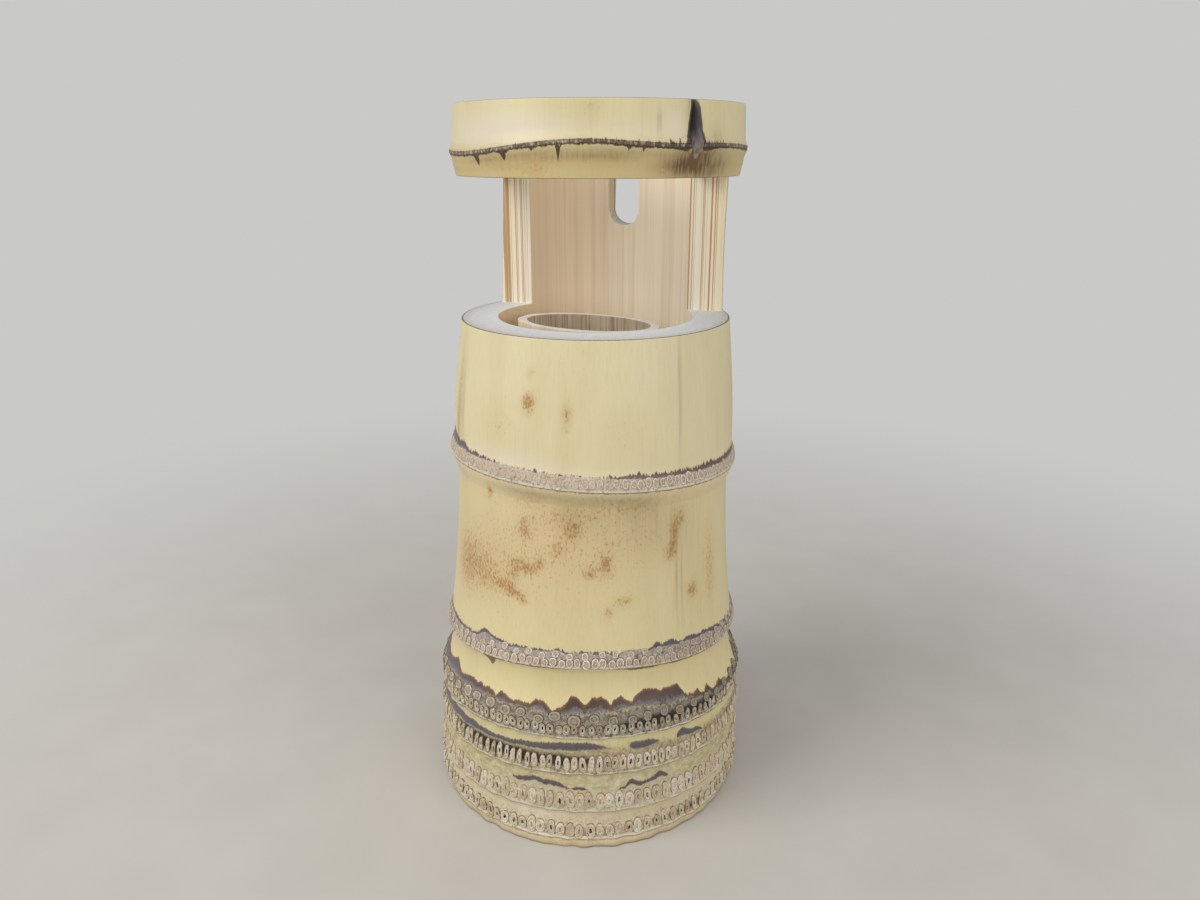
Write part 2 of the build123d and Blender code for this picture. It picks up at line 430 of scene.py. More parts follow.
def lay(grid, finish, closed=False, leave_out=None):
    """Lays four-sided faces over a grid of point numbers, with one finish or one for each face."""
    if closed:
        grid = np.concatenate([grid, grid[:, :1]], 1)
    quads = np.stack([grid[:-1, :-1], grid[:-1, 1:], grid[1:, 1:], grid[1:, :-1]], -1)
    keep = np.ones(quads.shape[:2], bool) if leave_out is None else ~leave_out
    facets.extend(quads[keep].tolist())
    finishes.extend(np.broadcast_to(finish, keep.shape)[keep].tolist())


def cap(loop, finish, x, y, z):
    """Closes a loop of points with a fan about a middle point."""
    middle = int(put(x, y, z, depth=1.0))
    facets.extend([int(a), int(b), middle] for a, b in zip(loop, np.roll(loop, -1)))
    finishes.extend([finish] * len(loop))


# %% [markdown]
# The skin is laid over the whole grid, apart from the window and a block of cells round the nail hole.

# %% Lay the skin
HOLE_MARGIN = 3.0
hole_low = int(np.searchsorted(rows, HOLE_Z - HOLE_TALL - HOLE_MARGIN)) - 1
hole_high = int(np.searchsorted(rows, HOLE_Z + HOLE_TALL + HOLE_MARGIN))
bore_column = math.radians(bore_angle[1] - bore_angle[0]) * BORE
hole_half = int((HOLE_WIDE + HOLE_MARGIN) / bore_column) + 1
hole_first, hole_last = PILLAR // 2 - hole_half, PILLAR // 2 + hole_half

x, y, z = skin_point(skin_angle, skin_height)
planed = planed_off(skin_angle, skin_height)
wall = grown_radius(skin_angle, skin_height) - BORE
skin = put(x, y, z, skin_angle, skin_height, planed / wall)
row, column = np.mgrid[:len(rows) - 1, :COLUMNS]
in_window = (row >= rim_row) & (row < ring_row) & (column >= PILLAR)
in_hole = (row >= hole_low) & (row < hole_high) & (column >= hole_first) & (column < hole_last)
on_side = (column < PLANED) | ((column >= PILLAR - PLANED) & (column < PILLAR))
on_plane = on_side & (row >= rim_row) & (row < ring_row)
on_ledge = (row == rim_row) | (row == ring_row - 1)
skin_finish = np.where(on_plane, np.where(on_ledge, SAWN, SPLIT), SKIN)
lay(skin, skin_finish, closed=True, leave_out=in_window | in_hole)

# %% [markdown]
# The bore has fewer rows than the skin. It shares those in the window, and steps in at the ledges, whose
# edges are a little ragged.

# %% Lay the bore
shared = rows[rim_row:hole_high + 1]
bore_rows = [(FLOOR, 0)]
for low, high in ledges:
    ledge_rows = [(low - 0.3, 0), (low, 0), (low, LEDGE), (high, LEDGE), (high, 0)]
    bore_rows += ledge_rows if low > RIM else ledge_rows + [(z, 0) for z in shared]
bore_rows.append((TOP, 0))
bore_z, inset = np.array(bore_rows).T[:, :, None]
a = np.radians(bore_angle)
ragged = ripple(a, (0.10, 9, 1), (0.08, 23, 0), (0.06, 41, 2))
bore_r = BORE - inset * (1 + ragged)
bore = put(BORE_X + bore_r * np.cos(a), bore_r * np.sin(a), bore_z, bore_angle, bore_z, 1.0)
bore_rim = int(np.abs(bore_z[:, 0] - RIM).argmin())
bore_ring = bore_rim + ring_row - rim_row
row, column = np.mgrid[:len(bore_rows) - 1, :COLUMNS]
in_window = (row >= bore_rim) & (row < bore_ring) & (column >= PILLAR)
bore_shift = bore_rim - rim_row
in_hole_rows = (row >= hole_low + bore_shift) & (row < hole_high + bore_shift)
in_hole = in_hole_rows & (column >= hole_first) & (column < hole_last)
lay(bore, INSIDE, closed=True, leave_out=in_window | in_hole)
print(len(facets), "faces on the skin and in the bore")

# %% [markdown]
# The sawn faces join the skin to the bore: the rim and the ring's underside round the front, the top all
# round, and the two upright faces of the pillar. They have a few cells across the wall, which also carry the
# depth in the wall, because the fibres of bamboo stand closer together towards the skin.

# %% Saw the rim, the ring, the top and the pillar's edges
ACROSS = 6


def join(start, end, parts):
    """A grid from one row of points to another, in even steps, both rows included."""
    here = np.concatenate(spots)
    share = (np.arange(1, parts) / parts)[:, None, None]
    notes = here[start] * (1 - share) + here[end] * share
    notes[..., DEPTH] = share[..., 0]
    return np.concatenate([start[None], put(*np.moveaxis(notes, -1, 0)), end[None]])


round_front = np.r_[PILLAR:COLUMNS, 0]
rim_face = join(skin[rim_row, round_front], bore[bore_rim, round_front], ACROSS)
ring_face = join(skin[ring_row, round_front], bore[bore_ring, round_front], ACROSS)
top_face = join(skin[-1], bore[-1], ACROSS)
lay(rim_face, SAWN)
lay(ring_face, SAWN)
lay(top_face, SAWN, closed=True)
for side, column in ((0, PILLAR), (-1, 0)):
    edge = join(skin[rim_row + 1:ring_row, column], bore[bore_rim + 1:bore_ring, column], ACROSS)
    lay(np.concatenate([rim_face[:, side][:, None], edge, ring_face[:, side][:, None]], 1), SPLIT)

# %% [markdown]
# The foot is a sawn disc through solid root wood, with a small natural hollow in its middle. The bore ends on
# a floor, which is the wall of the lower node.

# %% Foot and floor
a = np.radians(skin_angle[0])
uneven = 1 + ripple(a, (0.06, 2, 1), (0.04, 5, 0))
hollow_edge, hollow_end = [
    put(share * HOLLOW * uneven * np.cos(a), share * HOLLOW * uneven * np.sin(a), z + 0 * a)
    for share, z in ((1.0, 0.0), (0.8, HOLLOW_DEPTH))
]
lay(join(skin[0], hollow_edge, ACROSS), SAWN, closed=True)
lay(join(hollow_edge, hollow_end, 3), INSIDE, closed=True)
cap(hollow_end, INSIDE, 0.0, 0.0, HOLLOW_DEPTH)
cap(bore[0], INSIDE, BORE_X, 0.0, FLOOR)

# %% [markdown]
# The nail hole is an upright slot with round ends through the pillar, its top behind the ring. A block of
# cells was left open for it in the skin and in the bore. Rings of new cells run from the block's border in to
# the slot, so the hole's edge is smooth and even, and its wall joins the two slots.

# %% Nail hole
def border(grid, low, high):
    """Point numbers round a block of cells, against the clock."""
    block = grid[low:high + 1, hole_first:hole_last + 1]
    return np.concatenate([block[0, :-1], block[:-1, -1], block[-1, :0:-1], block[:0:-1, 0]])


def skin_behind(x, z):
    """How far back the skin stands behind a place in the pillar."""
    y = np.full(len(x), outline_r.min())
    for _ in range(6):
        angle = np.degrees(np.arctan2(y, x - LEAN * z))
        y = np.sqrt(skin_radius(angle, z) ** 2 - (x - LEAN * z) ** 2)
    return y


def bore_behind(x, z):
    """How far back the bore's wall stands, which is the same at every height."""
    return np.sqrt(BORE ** 2 - (x - BORE_X) ** 2)


def slot_rings(loop, behind, depth, heading):
    """Rings of points from the block's border to the slot, along headings from the slot's middle."""
    here = np.concatenate(spots)[loop]
    straight = HOLE_TALL - HOLE_WIDE
    across, along = np.cos(heading), np.sin(heading)
    to_side = HOLE_WIDE / np.maximum(np.abs(across), 0.01)
    to_end = straight * np.abs(along) + np.sqrt(np.maximum(HOLE_WIDE ** 2 - (straight * across) ** 2, 0))
    reach = np.where(to_side * np.abs(along) < straight, to_side, to_end)
    rings = [loop]
    for share in (0.3, 0.65, 1.0):
        x = here[:, X] * (1 - share) + (HOLE_X + reach * across) * share
        z = here[:, Z] * (1 - share) + (HOLE_Z + reach * along) * share
        y = behind(x, z)
        rings.append(put(x, y, z, np.degrees(np.arctan2(y, x - LEAN * z)), z, depth))
    return np.array(rings)


skin_loop = border(skin, hole_low, hole_high)
bore_loop = border(bore, hole_low + bore_shift, hole_high + bore_shift)
here = np.concatenate(spots)[skin_loop]
heading = np.arctan2(here[:, Z] - HOLE_Z, here[:, X] - HOLE_X)
skin_rings = slot_rings(skin_loop, skin_behind, 0.0, heading)
bore_rings = slot_rings(bore_loop, bore_behind, 1.0, heading)
lay(skin_rings, SKIN, closed=True)
lay(bore_rings, INSIDE, closed=True)
slot_finish = np.where(np.abs(np.sin(heading)) > 0.9, SAWN, SPLIT)
lay(join(skin_rings[-1], bore_rings[-1], 4), slot_finish, closed=True)
print(len(facets), "faces on the culm")

# %% [markdown]
# ## Marks on the skin
# Above each node's lip the skin carries dark marks: purple-brown scallops where roots pushed up under the
# sheath, thin dark lines, cracks, and the groove of the bud. A mark is written as a list of places round the
# stem, each with the mark's lower and upper edge in millimetres above the lip. What the shader gets is the
# distance into the mark, because a distance stays sharp when it is blended across a cell, and a painted
# colour does not.

# %% Dark marks
CLEAR = (9.0, -9.0)
MARKS = {
    "root_1": [
        (-172, 8.4, 12), (-160, 8.4, 12), (-147, 9, 12.2), (-140.5, 9.6, 15.2), (-136, 9.8, 13),
        (-133, 9.8, 11.6), (-128.5, 9.6, 12.8), (-125.5, 9.6, 13.2), (-122, 9.4, 12.4), (-119.5, 9.6, 13.4),
        (-118.5, 9.8, 11.8), (-116, 9.8, 12.6), (-113, 10, 12), (-111.5, 10, 10.6), (-109.5, 9.6, 13),
        (-106, 9.6, 11.6), (-103.5, 9.6, 10.8), (-101, 9.6, 11.6), (-100, 9.6, 10.8), (-98.5, 9.6, 11.4),
        (-97, 9.6, 10.8), (-95, 9.6, 12.8), (-92, 9.4, 12.6), (-88.5, 8.6, 9.8), (-85.5, 8.8, 11.2),
        (-83.5, 9, 12.4), (-82.5, 9.2, 14.8), (-81, 9.6, 15.2), (-79.5, 9.8, 14.4), (-77.5, 9.4, 12),
        (-76, 9.4, 12.4), (-74.5, 9.6, 14.6), (-72, 10.2, 14.6), (-70, 9.8, 14.4), (-68, 9.8, 11.6),
        (-66.5, 10, 13.6), (-64, 10.2, 14.6), (-62.5, 10.4, 13.6), (-60.5, 10.6, 12), (-58.5, 10.6, 14.4),
        (-55, 10.2, 16.2), (-51, 10.2, 15.8), (-49, 9.8, 14.6), (-46.5, 9.8, 15.2), (-44, 9.8, 15.2),
        (-41, 10, 15.6), (-39.5, 10, 13.2), (-38, 9.8, 10.8), (-36, 9.4, 10.6), (-33.5, 8.4, 10.4),
        (-31.5, 8.2, 11.2), (-31, 8.2, 9.6), (-29, 7.6, 9.2), (-26.5, 7.4, 11.6), (-25, 7.2, 9),
        (-23.5, 6.8, 8.8), (-18, 6, 10), (-14.5, 6, 7.4), (-6, 6, 9), (0, 6, 8),
    ],
    "root_2": [
        (-170, 8.4, 10), (-146, 8.2, 11.6), (-134, 8.2, 11.6), (-126, 8.4, 11), (-118, 8.6, 10.4),
        (-110, 8.4, 9.8), (-104, 8.6, 10), (-95, 8.8, 10.4), (-87, 9, 10.8), (-80, 9.2, 11.2), (-74, 9.4, 11),
        (-70, 9.6, 10.2), (-67.5, 9.6, 9.6), (-66, *CLEAR), (-63, *CLEAR), (-61.5, 9.6, 10.2),
        (-59.5, 8.8, 10.8), (-54, 8.8, 10.6), (-50, 9.6, 10.2), (-47, *CLEAR), (-44, *CLEAR),
        (-43, 9.2, 10.2), (-40, 9, 11.8), (-37, 8.6, 10.4), (-33, 8.6, 10.2), (-30, 8, 9), (-27, *CLEAR),
        (-8, *CLEAR),
    ],
    "root_3": [
        (-150, *CLEAR), (-106, *CLEAR), (-103, 10, 10.6), (-100, 9.4, 11), (-97, 9.8, 11.2), (-94, 10.4, 12),
        (-91, 9.6, 11.2), (-88, 9.8, 11.2), (-86, 9.6, 11.2), (-83, 8.8, 9.6), (-81.5, 9, 9), (-80, 9, 10),
        (-77, 8.8, 10), (-75, 8.8, 9), (-73, *CLEAR), (-67, *CLEAR), (-65, 8.6, 9.4), (-62.5, 8.8, 9.8),
        (-60.5, 9.8, 11.6), (-57.5, 8.8, 10.2), (-52.5, 9.4, 10.8), (-49, 10.2, 12.2), (-46.5, 9.6, 11),
        (-45.5, 9.6, 9.4), (-43, *CLEAR), (-20, *CLEAR),
    ],
    "root_4": [(-180, *CLEAR), (-90, *CLEAR), (0, *CLEAR)],
    "lower": [
        (-172, 5.6, 8), (-149.5, 5.8, 7), (-141, 5.4, 6.8), (-134.5, 5, 6), (-130, 5.2, 6.4), (-125.5, 5, 6),
        (-123, 5.4, 6.6), (-119.5, 7.6, 9.2), (-117, 7.4, 8.8), (-113.5, 6.2, 7.4), (-108.5, 5.6, 6.8),
        (-107, 5, 6), (-104, 5.4, 6.4), (-99.5, 5.4, 6.2), (-97.5, 5.2, 6), (-95.5, 5.4, 6.2),
        (-91.5, 5.6, 6.2), (-89.5, 5.6, 6.2), (-87.5, 6, 6.8), (-86, 5.8, 6.6), (-84, 5, 5.8),
        (-82.5, 5.6, 5.4), (-80.5, 5.6, 5.4), (-79.5, 5.2, 6), (-78.5, 5.4, 6.6), (-77, 5.4, 6.2),
        (-75.5, 5.6, 5.6), (-74, 5.2, 6.2), (-73, 4.8, 6.4), (-72, 5.4, 5.6), (-70, 5.2, 6.4),
        (-69, 5.6, 5.8), (-67.5, 4.4, 6), (-65.5, 4.2, 5.2), (-64.5, 5, 4.6), (-57, 5, 4.6), (-55, 5, 5.2),
        (-53.5, 5.2, 6.4), (-51.5, 5.6, 7.4), (-50, 5.8, 8.4), (-48.5, 6, 6.8), (-46.5, 5.6, 7.8),
        (-44, 5.6, 8.2), (-42, 5.6, 7.2), (-39, 5.6, 6.6), (-37, 6, 7.6), (-34.5, 5.6, 8), (-31, 5.6, 6.8),
        (-27.5, 5.6, 7.6), (-25, 6, 7), (-21, 5, 7), (-17, 5, 6.6), (-13, 4.8, 5.8), (-7.5, 4.2, 5.6),
        (0, 4, 5),
    ],
    "middle": [
        (-168, 4, 8.6), (-150, 4, 9.4), (-142, 4.2, 6.8), (-137, 4.6, 7.8), (-131, 4.4, 5.6),
        (-127, 4.4, 6.2), (-122, 4.6, 5.2), (-117, 4.8, 5.6), (-112, 4.8, 4.4), (-98, 4.8, 4.8),
        (-96.5, 4.4, 5.6), (-95, 4.8, 4.8), (-88, 4.8, 4.8), (-87, 4.4, 5.4), (-85, 4.8, 4.8),
        (-74, 4.8, 4.8), (-70, 4.6, 5.2), (-66, 4.4, 5), (-62, 4.4, 5.6), (-58, 4.2, 6.2), (-54, 4.4, 5.6),
        (-50, 4.2, 6), (-45, 4.2, 5.4), (-40, 4.2, 6.2), (-33, 4.2, 5.6), (-26, 4, 6.6), (-18, 4, 5.6),
        (-10, 4, 6.6),
    ],
    "ring": [
        (-172, -0.4, 0.2), (-126, -0.4, 0.2), (-125, -1.8, 0.2), (-124, -3.6, 0.2), (-123.5, -5, 0.2),
        (-123, -1.4, 0.2), (-122, -0.4, 0.2), (-112, -0.4, 0.2), (-111, -1.4, 0.2), (-110, -4.2, 0.2),
        (-109.5, -2.4, 0.2), (-108.5, -0.4, 0.2), (-99, -0.4, 0.2), (-98.5, -2, 0.2), (-97.5, -0.4, 0.2),
        (-90, -0.4, 0.2), (-89.5, -2.4, 0.2), (-89, -6.4, 0.2), (-88.5, -2.2, 0.2), (-87.5, -0.4, 0.2),
        (-76, -0.4, 0.4), (-72, -0.4, 0.8), (-66, -0.6, 0.6), (-65, -2, 0.6), (-64, -0.6, 0.6),
        (-60.5, -0.6, 0.8), (-60, -1.8, 0.8), (-59, -0.6, 0.8), (-53, -0.6, 1.2), (-46, -1, 1.4),
        (-43.5, -1.4, 2), (-43, -1.4, 7), (-42.5, -1, 9), (-41.5, 0, 11.6), (-41, 0, 14), (-38, 0, 14),
        (-37, 0, 11), (-36.5, -1, 8), (-36, -1.4, 5), (-35, -1.4, 1.6), (-30, -0.8, 1.2), (-24, -0.4, 0.8),
        (-12, -0.4, 0.4), (-2, -0.4, 0.2),
    ],
}

# %% [markdown]
# The photograph shows the front only. On the far side, marks like the listed ones are drawn at random,
# without the tallest.

# %% Marks all round
UNSEEN, TALLEST = (6.0, 182.0), 6.1
rng = np.random.default_rng(21)


def marks_all_round(name):
    """The listed marks, and the same kind drawn at random on the side that no list covers."""
    listed = sorted(MARKS[name])
    kinds = [mark for mark in listed if mark[0] < -12 and mark[2] - mark[1] < TALLEST]
    angle, drawn = UNSEEN[0], []
    while angle < UNSEEN[1]:
        _, low, high = kinds[rng.integers(len(kinds))]
        drawn.append((angle, low, high))
        angle += rng.uniform(1.6, 4.2)
    return np.array(listed + drawn).T


def mark_edges(name, angle):
    """Lower and upper edge of a node's mark, and the top of its band, which ends where a mark begins."""
    at, low, high = marks_all_round(name)
    band_top = np.where((low > high) | (low < 2), NODES[name]["band"], low)
    return [np.interp(turned(angle), at, edge, period=360) for edge in (low, high, band_top)]


print({name: len(marks) for name, marks in MARKS.items()}, "places listed")

# %% [markdown]
# Below a lip the stem has a thin brown edge, where the sheath tore off. It is deeper in places, and on the
# lower node it runs down in one dark point. These are depths in millimetres, again at places round the stem.

# %% Brown edges under the lips
USUAL_EDGE = 0.7
UNDER_LIPS = {
    "root_1": [(-150, 0.8), (-118, 0.7), (-104, 1.0), (-102, 0.5), (-88, 0.6), (-86, 1.8), (-84, 0.6),
               (-79, 0.7), (-77.5, 1.6), (-76, 0.5), (-60, 1.0), (-40, 1.2), (-20, 0.8)],
    "lower": [(-160, 0.5), (-130, 0.4), (-119, 0.5), (-117.9, 0.9), (-114.7, 5.4), (-112, 1.2), (-108, 1.0),
              (-104, 0.8), (-97, 1.1), (-90, 0.9), (-86, 0.5), (-78, 0.3), (-70, 0.3), (-64, 0.8), (-60, 2.0),
              (-57, 1.8), (-52, 1.6), (-50, 0.6), (-44, 1.5), (-38, 1.1), (-30, 0.9), (-20, 0.7)],
}


def edge_depth(name, angle):
    """Depth of the brown edge under a node's lip."""
    at, depth = np.array(UNDER_LIPS.get(name, [(0, USUAL_EDGE)])).T
    return np.interp(turned(angle), at, depth, period=360)


# %% [markdown]
# ## Building a piece
# Every piece of the vase is built the same way: points in millimetres and faces become a mesh in metres,
# loose points are dropped, the faces are turned outwards, and the object rides on its CAD body.

# %% Make a piece
def make_piece(name, faces, finish_of_faces, body, shares):
    """Makes a mesh object from the listed spots. The notes of the spots that it uses come back with it."""
    notes = np.concatenate(spots)
    used, flat = np.unique(np.concatenate([np.asarray(f) for f in faces]), return_inverse=True)
    ends = np.cumsum([len(f) for f in faces])
    mesh = bpy.data.meshes.new(name)
    mesh.from_pydata((notes[used, :3] * MM).tolist(), [], [list(f) for f in np.split(flat, ends[:-1])])
    mesh.polygons.foreach_set("material_index", finish_of_faces)
    work = bmesh.new()
    work.from_mesh(mesh)
    bmesh.ops.recalc_face_normals(work, faces=work.faces)
    work.to_mesh(mesh)
    work.free()
    mesh.shade_smooth()
    for share, values in shares.items():
        mesh.attributes.new(share, "FLOAT", "POINT").data.foreach_set("value", np.asarray(values)[used])
    piece = bpy.data.objects.new(name, mesh)
    bpy.context.scene.collection.objects.link(piece)
    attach(piece, body)
    return piece, notes[used]


SHARP = math.radians(55)


def ease_edges(piece, width):
    """Rounds the sharp edges by a fraction of a millimetre, as sandpaper leaves them."""
    bevel = piece.modifiers.new("eased_edges", "BEVEL")
    bevel.width = width * MM
    bevel.segments = 2
    bevel.limit_method = "ANGLE"
    bevel.angle_limit = SHARP
    bevel.use_clamp_overlap = False
    bevel.harden_normals = True


# %% [markdown]
# ## Stains and bloom
# The skin of this old culm has orange-brown freckles, brown smudges where damp stood, and a pale bloom above
# the nodes. Each is a soft cloud, written as angle, height, half width, half height and strength, and the
# shader later breaks the clouds up into specks and streaks.

# %% Clouds on the skin
FRECKLES = [
    (-100.3, 166.4, 2.6, 3.0, 1.7), (-85.3, 163.2, 1.9, 4.4, 1.1), (-142, 163, 2.4, 19, 0.7),
    (-100, 177, 1.4, 1.4, 0.8), (-130, 101, 17, 12, 0.7), (-136, 97, 8, 12, 0.4), (-117, 98, 9, 6, 0.3),
    (-104, 107.6, 3.6, 1.4, 1.2), (-98.6, 107.4, 2.8, 1.3, 1.2), (-95, 110, 1.8, 1.5, 0.9),
    (-110, 98.6, 3.6, 1.5, 1.1), (-106, 96.4, 3.4, 1.4, 1.1), (-102, 94.6, 2.0, 1.4, 1.0),
    (-110, 113, 30, 19, 0.4), (-78, 114, 26, 20, 0.36), (-106, 103.6, 3.0, 2.4, 0.5),
    (-102, 121.5, 3.0, 3.4, 0.75), (-83, 122.5, 3.6, 3.2, 0.8), (-88, 115, 2.4, 2.4, 0.55),
    (-44, 111.5, 2.6, 2.8, 1.0), (-42, 117.8, 1.7, 5.8, 1.0), (-33, 94.4, 2.8, 2.8, 1.4),
    (-70, 109.6, 2.4, 4.2, 0.9), (-76, 107, 2.4, 2.2, 0.8), (-39, 123, 1.8, 3.0, 0.8),
    (-63, 96, 3.2, 1.8, 1.0), (-69, 92, 1.8, 2.2, 1.0), (-101, 132, 6.0, 2.4, 0.45),
    (-96, 128, 4.0, 4.4, 0.3), (-89, 127, 4.0, 4.0, 0.3), (-77, 128.5, 7.0, 4.0, 0.45),
    (-62, 130, 8, 3.4, 0.5), (-119.6, 131.6, 1.5, 1.6, 1.2), (-21, 100, 4, 16, 0.75), (-115, 158, 9, 9, 0.3),
    (-66, 158, 10, 8, 0.25), (-98, 239, 2.4, 1.6, 0.6), (-78, 257, 3.0, 1.4, 0.7), (-50, 240, 9, 3, 0.6),
    (-100, 241, 22, 3, 0.4), (-64, 40.8, 9, 0.9, 1.1), (-56, 38.4, 6, 0.8, 1.0), (-58, 36.6, 10, 1.0, 1.0),
    (-48, 35.6, 8, 0.8, 0.9), (-30, 37.4, 8, 1.2, 0.7), (-84, 3.0, 30, 2.0, 0.5), (-60, 6.0, 20, 3.0, 0.4),
    (-120, 2.4, 16, 1.6, 0.4), (-40, 3.0, 16, 2.0, 0.4), (-70, 11, 30, 1.4, 0.4), (-50, 121, 17, 12, 0.32),
    (60, 110, 12, 14, 0.7), (130, 160, 10, 12, 0.6), (20, 165, 8, 10, 0.5), (160, 100, 14, 10, 0.7),
    (95, 95, 8, 8, 0.5),
]
SMUDGES = [
    (-35, 240.6, 13, 4.6, 1.0), (-45, 241.6, 6.0, 3.0, 0.5), (-36, 244.2, 6, 1.4, 0.4),
    (-54.5, 253.6, 0.7, 3.4, 0.5), (-40, 256, 2.6, 6.0, 0.6), (-29, 249, 3.0, 3.0, 0.25),
    (-92, 243.6, 18, 1.6, 0.4), (-120, 242.4, 10, 1.6, 0.4), (-70, 243.8, 12, 1.6, 0.35),
    (-41.6, 168, 0.6, 20, 0.4), (-41, 104, 0.7, 22, 0.25), (-38.4, 98, 0.5, 14, 0.25),
    (-43.6, 120, 0.5, 12, 0.25), (-144, 150, 2.2, 16, 0.4), (-138, 158, 1.2, 18, 0.25),
    (-100, 134.6, 14, 1.6, 0.4), (-70, 133.6, 14, 2.0, 0.4), (-56, 130, 7, 5, 0.2), (-84, 129, 5, 4, 0.2),
    (75, 150, 1.2, 22, 0.3), (-76, 125, 12, 7, 0.12), (-52, 122, 14, 10, 0.17), (-34, 104, 9, 22, 0.08),
    (120, 110, 1.6, 20, 0.3), (40, 243, 9, 3.0, 0.6), (170, 118, 2.2, 18, 0.3),
]
BLOOM = [
    (-105, 252.5, 14, 4.0, 0.6), (-125, 250, 10, 4.5, 0.45), (-88, 251.5, 12, 2.0, 0.4),
    (-60, 251, 12, 2.6, 0.3), (-48, 252.4, 3.6, 4.0, 0.6), (-104, 145.6, 13, 1.8, 0.8),
    (-122, 146, 8, 1.8, 0.5), (-80, 144.2, 14, 1.2, 0.4), (-128, 252, 16, 5.0, 0.3),
    (-92, 12.6, 12, 2.6, 0.8), (-76, 15.0, 8, 2.0, 0.5), (-60, 26.4, 14, 1.2, 0.4), (60, 252, 18, 4.0, 0.5),
    (130, 145, 16, 2.0, 0.5),
]


def cloud(places, angle, z):
    """Strength of a set of soft clouds at places on the skin."""
    radius = np.interp(z, outline_z, outline_r)
    total = np.zeros(len(z))
    for at, height, wide, tall, strength in places:
        total += strength * bell(np.radians(turned(angle - at)) * radius, wide) * bell(z - height, tall)
    return total


def clouds_of(notes):
    """Freckles, smudges and bloom for the points of a piece of skin."""
    return {name: cloud(places, notes[:, ANGLE], notes[:, Z])
            for name, places in (("freckles", FRECKLES), ("smudges", SMUDGES), ("bloom", BLOOM))}


# %% [markdown]
# The culm is built now, with the depth in the wall and the clouds as values of its points.

# %% The culm
notes = np.concatenate(spots)
culm, notes = make_piece("culm_with_window", facets, finishes, "culm",
                         {"depth": notes[:, DEPTH], **clouds_of(notes)})
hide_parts("culm_body")
ease_edges(culm, 0.35)

# %% [markdown]
# How far a spot stands above its node's lip, and how far it lies inside a mark, is kept for each corner of
# each face, so that the values may jump where one node's share of the skin ends. Sawn faces get values that
# lie outside of every lip, band and mark. The gaps between the roots are black, and listed one by one.

# %% Distances to lips and marks
NO_MARK, NO_LIP, NO_BAND = -9.0, 60.0, 9.0
GAPS = [
    # node, angle, half width in degrees, height above the lip, half height, strength
    ("root_2", -126, 8, 5.8, 2.6, 0.9), ("root_2", -113, 8, 5.6, 2.8, 1.0),
    ("root_2", -100, 8, 5.6, 2.8, 1.0), ("root_2", -86, 8, 5.6, 2.8, 0.9),
    ("root_2", -76, 5, 5.8, 2.4, 0.6), ("root_1", -66, 8, 4.6, 2.0, 0.7),
    ("root_1", -52, 9, 4.8, 2.2, 0.9), ("root_1", -38, 9, 4.8, 2.2, 0.9),
    ("root_1", -26, 8, 4.8, 2.2, 0.7), ("root_1", -100, 20, 4.2, 2.0, 0.5),
    ("root_4", -128, 12, 2.6, 2.6, 0.6), ("root_4", -76, 20, 1.4, 1.4, 0.5),
    ("root_4", -36, 16, 3.2, 2.8, 0.7), ("root_1", -48, 34, 7.2, 1.6, 0.25),
]
mesh = culm.data
corner_point = np.empty(len(mesh.loops), int)
mesh.loops.foreach_get("vertex_index", corner_point)
corners_of_face, finish_of_face = np.empty(len(mesh.polygons), int), np.empty(len(mesh.polygons), int)
mesh.polygons.foreach_get("loop_total", corners_of_face)
mesh.polygons.foreach_get("material_index", finish_of_face)
face_of_corner = np.repeat(np.arange(len(mesh.polygons)), corners_of_face)
face_height = np.bincount(face_of_corner, notes[corner_point, HEIGHT]) / corners_of_face
node_starts = LIPS - np.array([node["reach"] for node in NODES.values()])
node_of_face = np.clip(np.searchsorted(node_starts, face_height) - 1, 0, len(NODES) - 1)
node_of_corner = node_of_face[face_of_corner]
corner_angle, corner_height = notes[corner_point, ANGLE], notes[corner_point, HEIGHT]
above_lip = corner_height - LIPS[node_of_corner]
mark_low, mark_high, under_lip, band_share = np.zeros((4, len(corner_point)))
for k, name in enumerate(NODES):
    mine = node_of_corner == k
    low, high, band_top = mark_edges(name, corner_angle[mine])
    mark_low[mine], mark_high[mine] = above_lip[mine] - low, high - above_lip[mine]
    under_lip[mine] = above_lip[mine] + edge_depth(name, corner_angle[mine])
    band_share[mine] = above_lip[mine] / band_top
bare = finish_of_face[face_of_corner] != SKIN
mark_low[bare], above_lip[bare], band_share[bare] = NO_MARK, NO_LIP, NO_BAND
gap = np.zeros(len(corner_point))
for name, at, wide, above, tall, strength in GAPS:
    here = bell(turned(corner_angle - at), wide) * bell(above_lip - above, tall)
    gap += strength * here * (node_of_corner == list(NODES).index(name))
for name, values in {
    "above_lip": above_lip, "band_share": band_share, "mark_low": mark_low, "mark_high": mark_high,
    "under_lip": under_lip, "gap": gap,
}.items():
    mesh.attributes.new(name, "FLOAT", "CORNER").data.foreach_set("value", values)
mesh.attributes.new("node_number", "FLOAT", "FACE").data.foreach_set("value", node_of_face)
triangles = int((corners_of_face - 2).sum())
print("culm:", len(mesh.vertices), "points,", triangles, "triangles")

# %% [markdown]
# ## Root scars
# Where roots were trimmed off, a node carries one or two rows of oval scars: a raised rim, a groove, an inner
# ring and an upright pit. They are too small for the culm's own grid, so each scar is a little closed form of
# nine rings that is bent onto the skin. On the root nodes they stand where the solid has its stubs. Sizes
# vary a little, as on the plant.

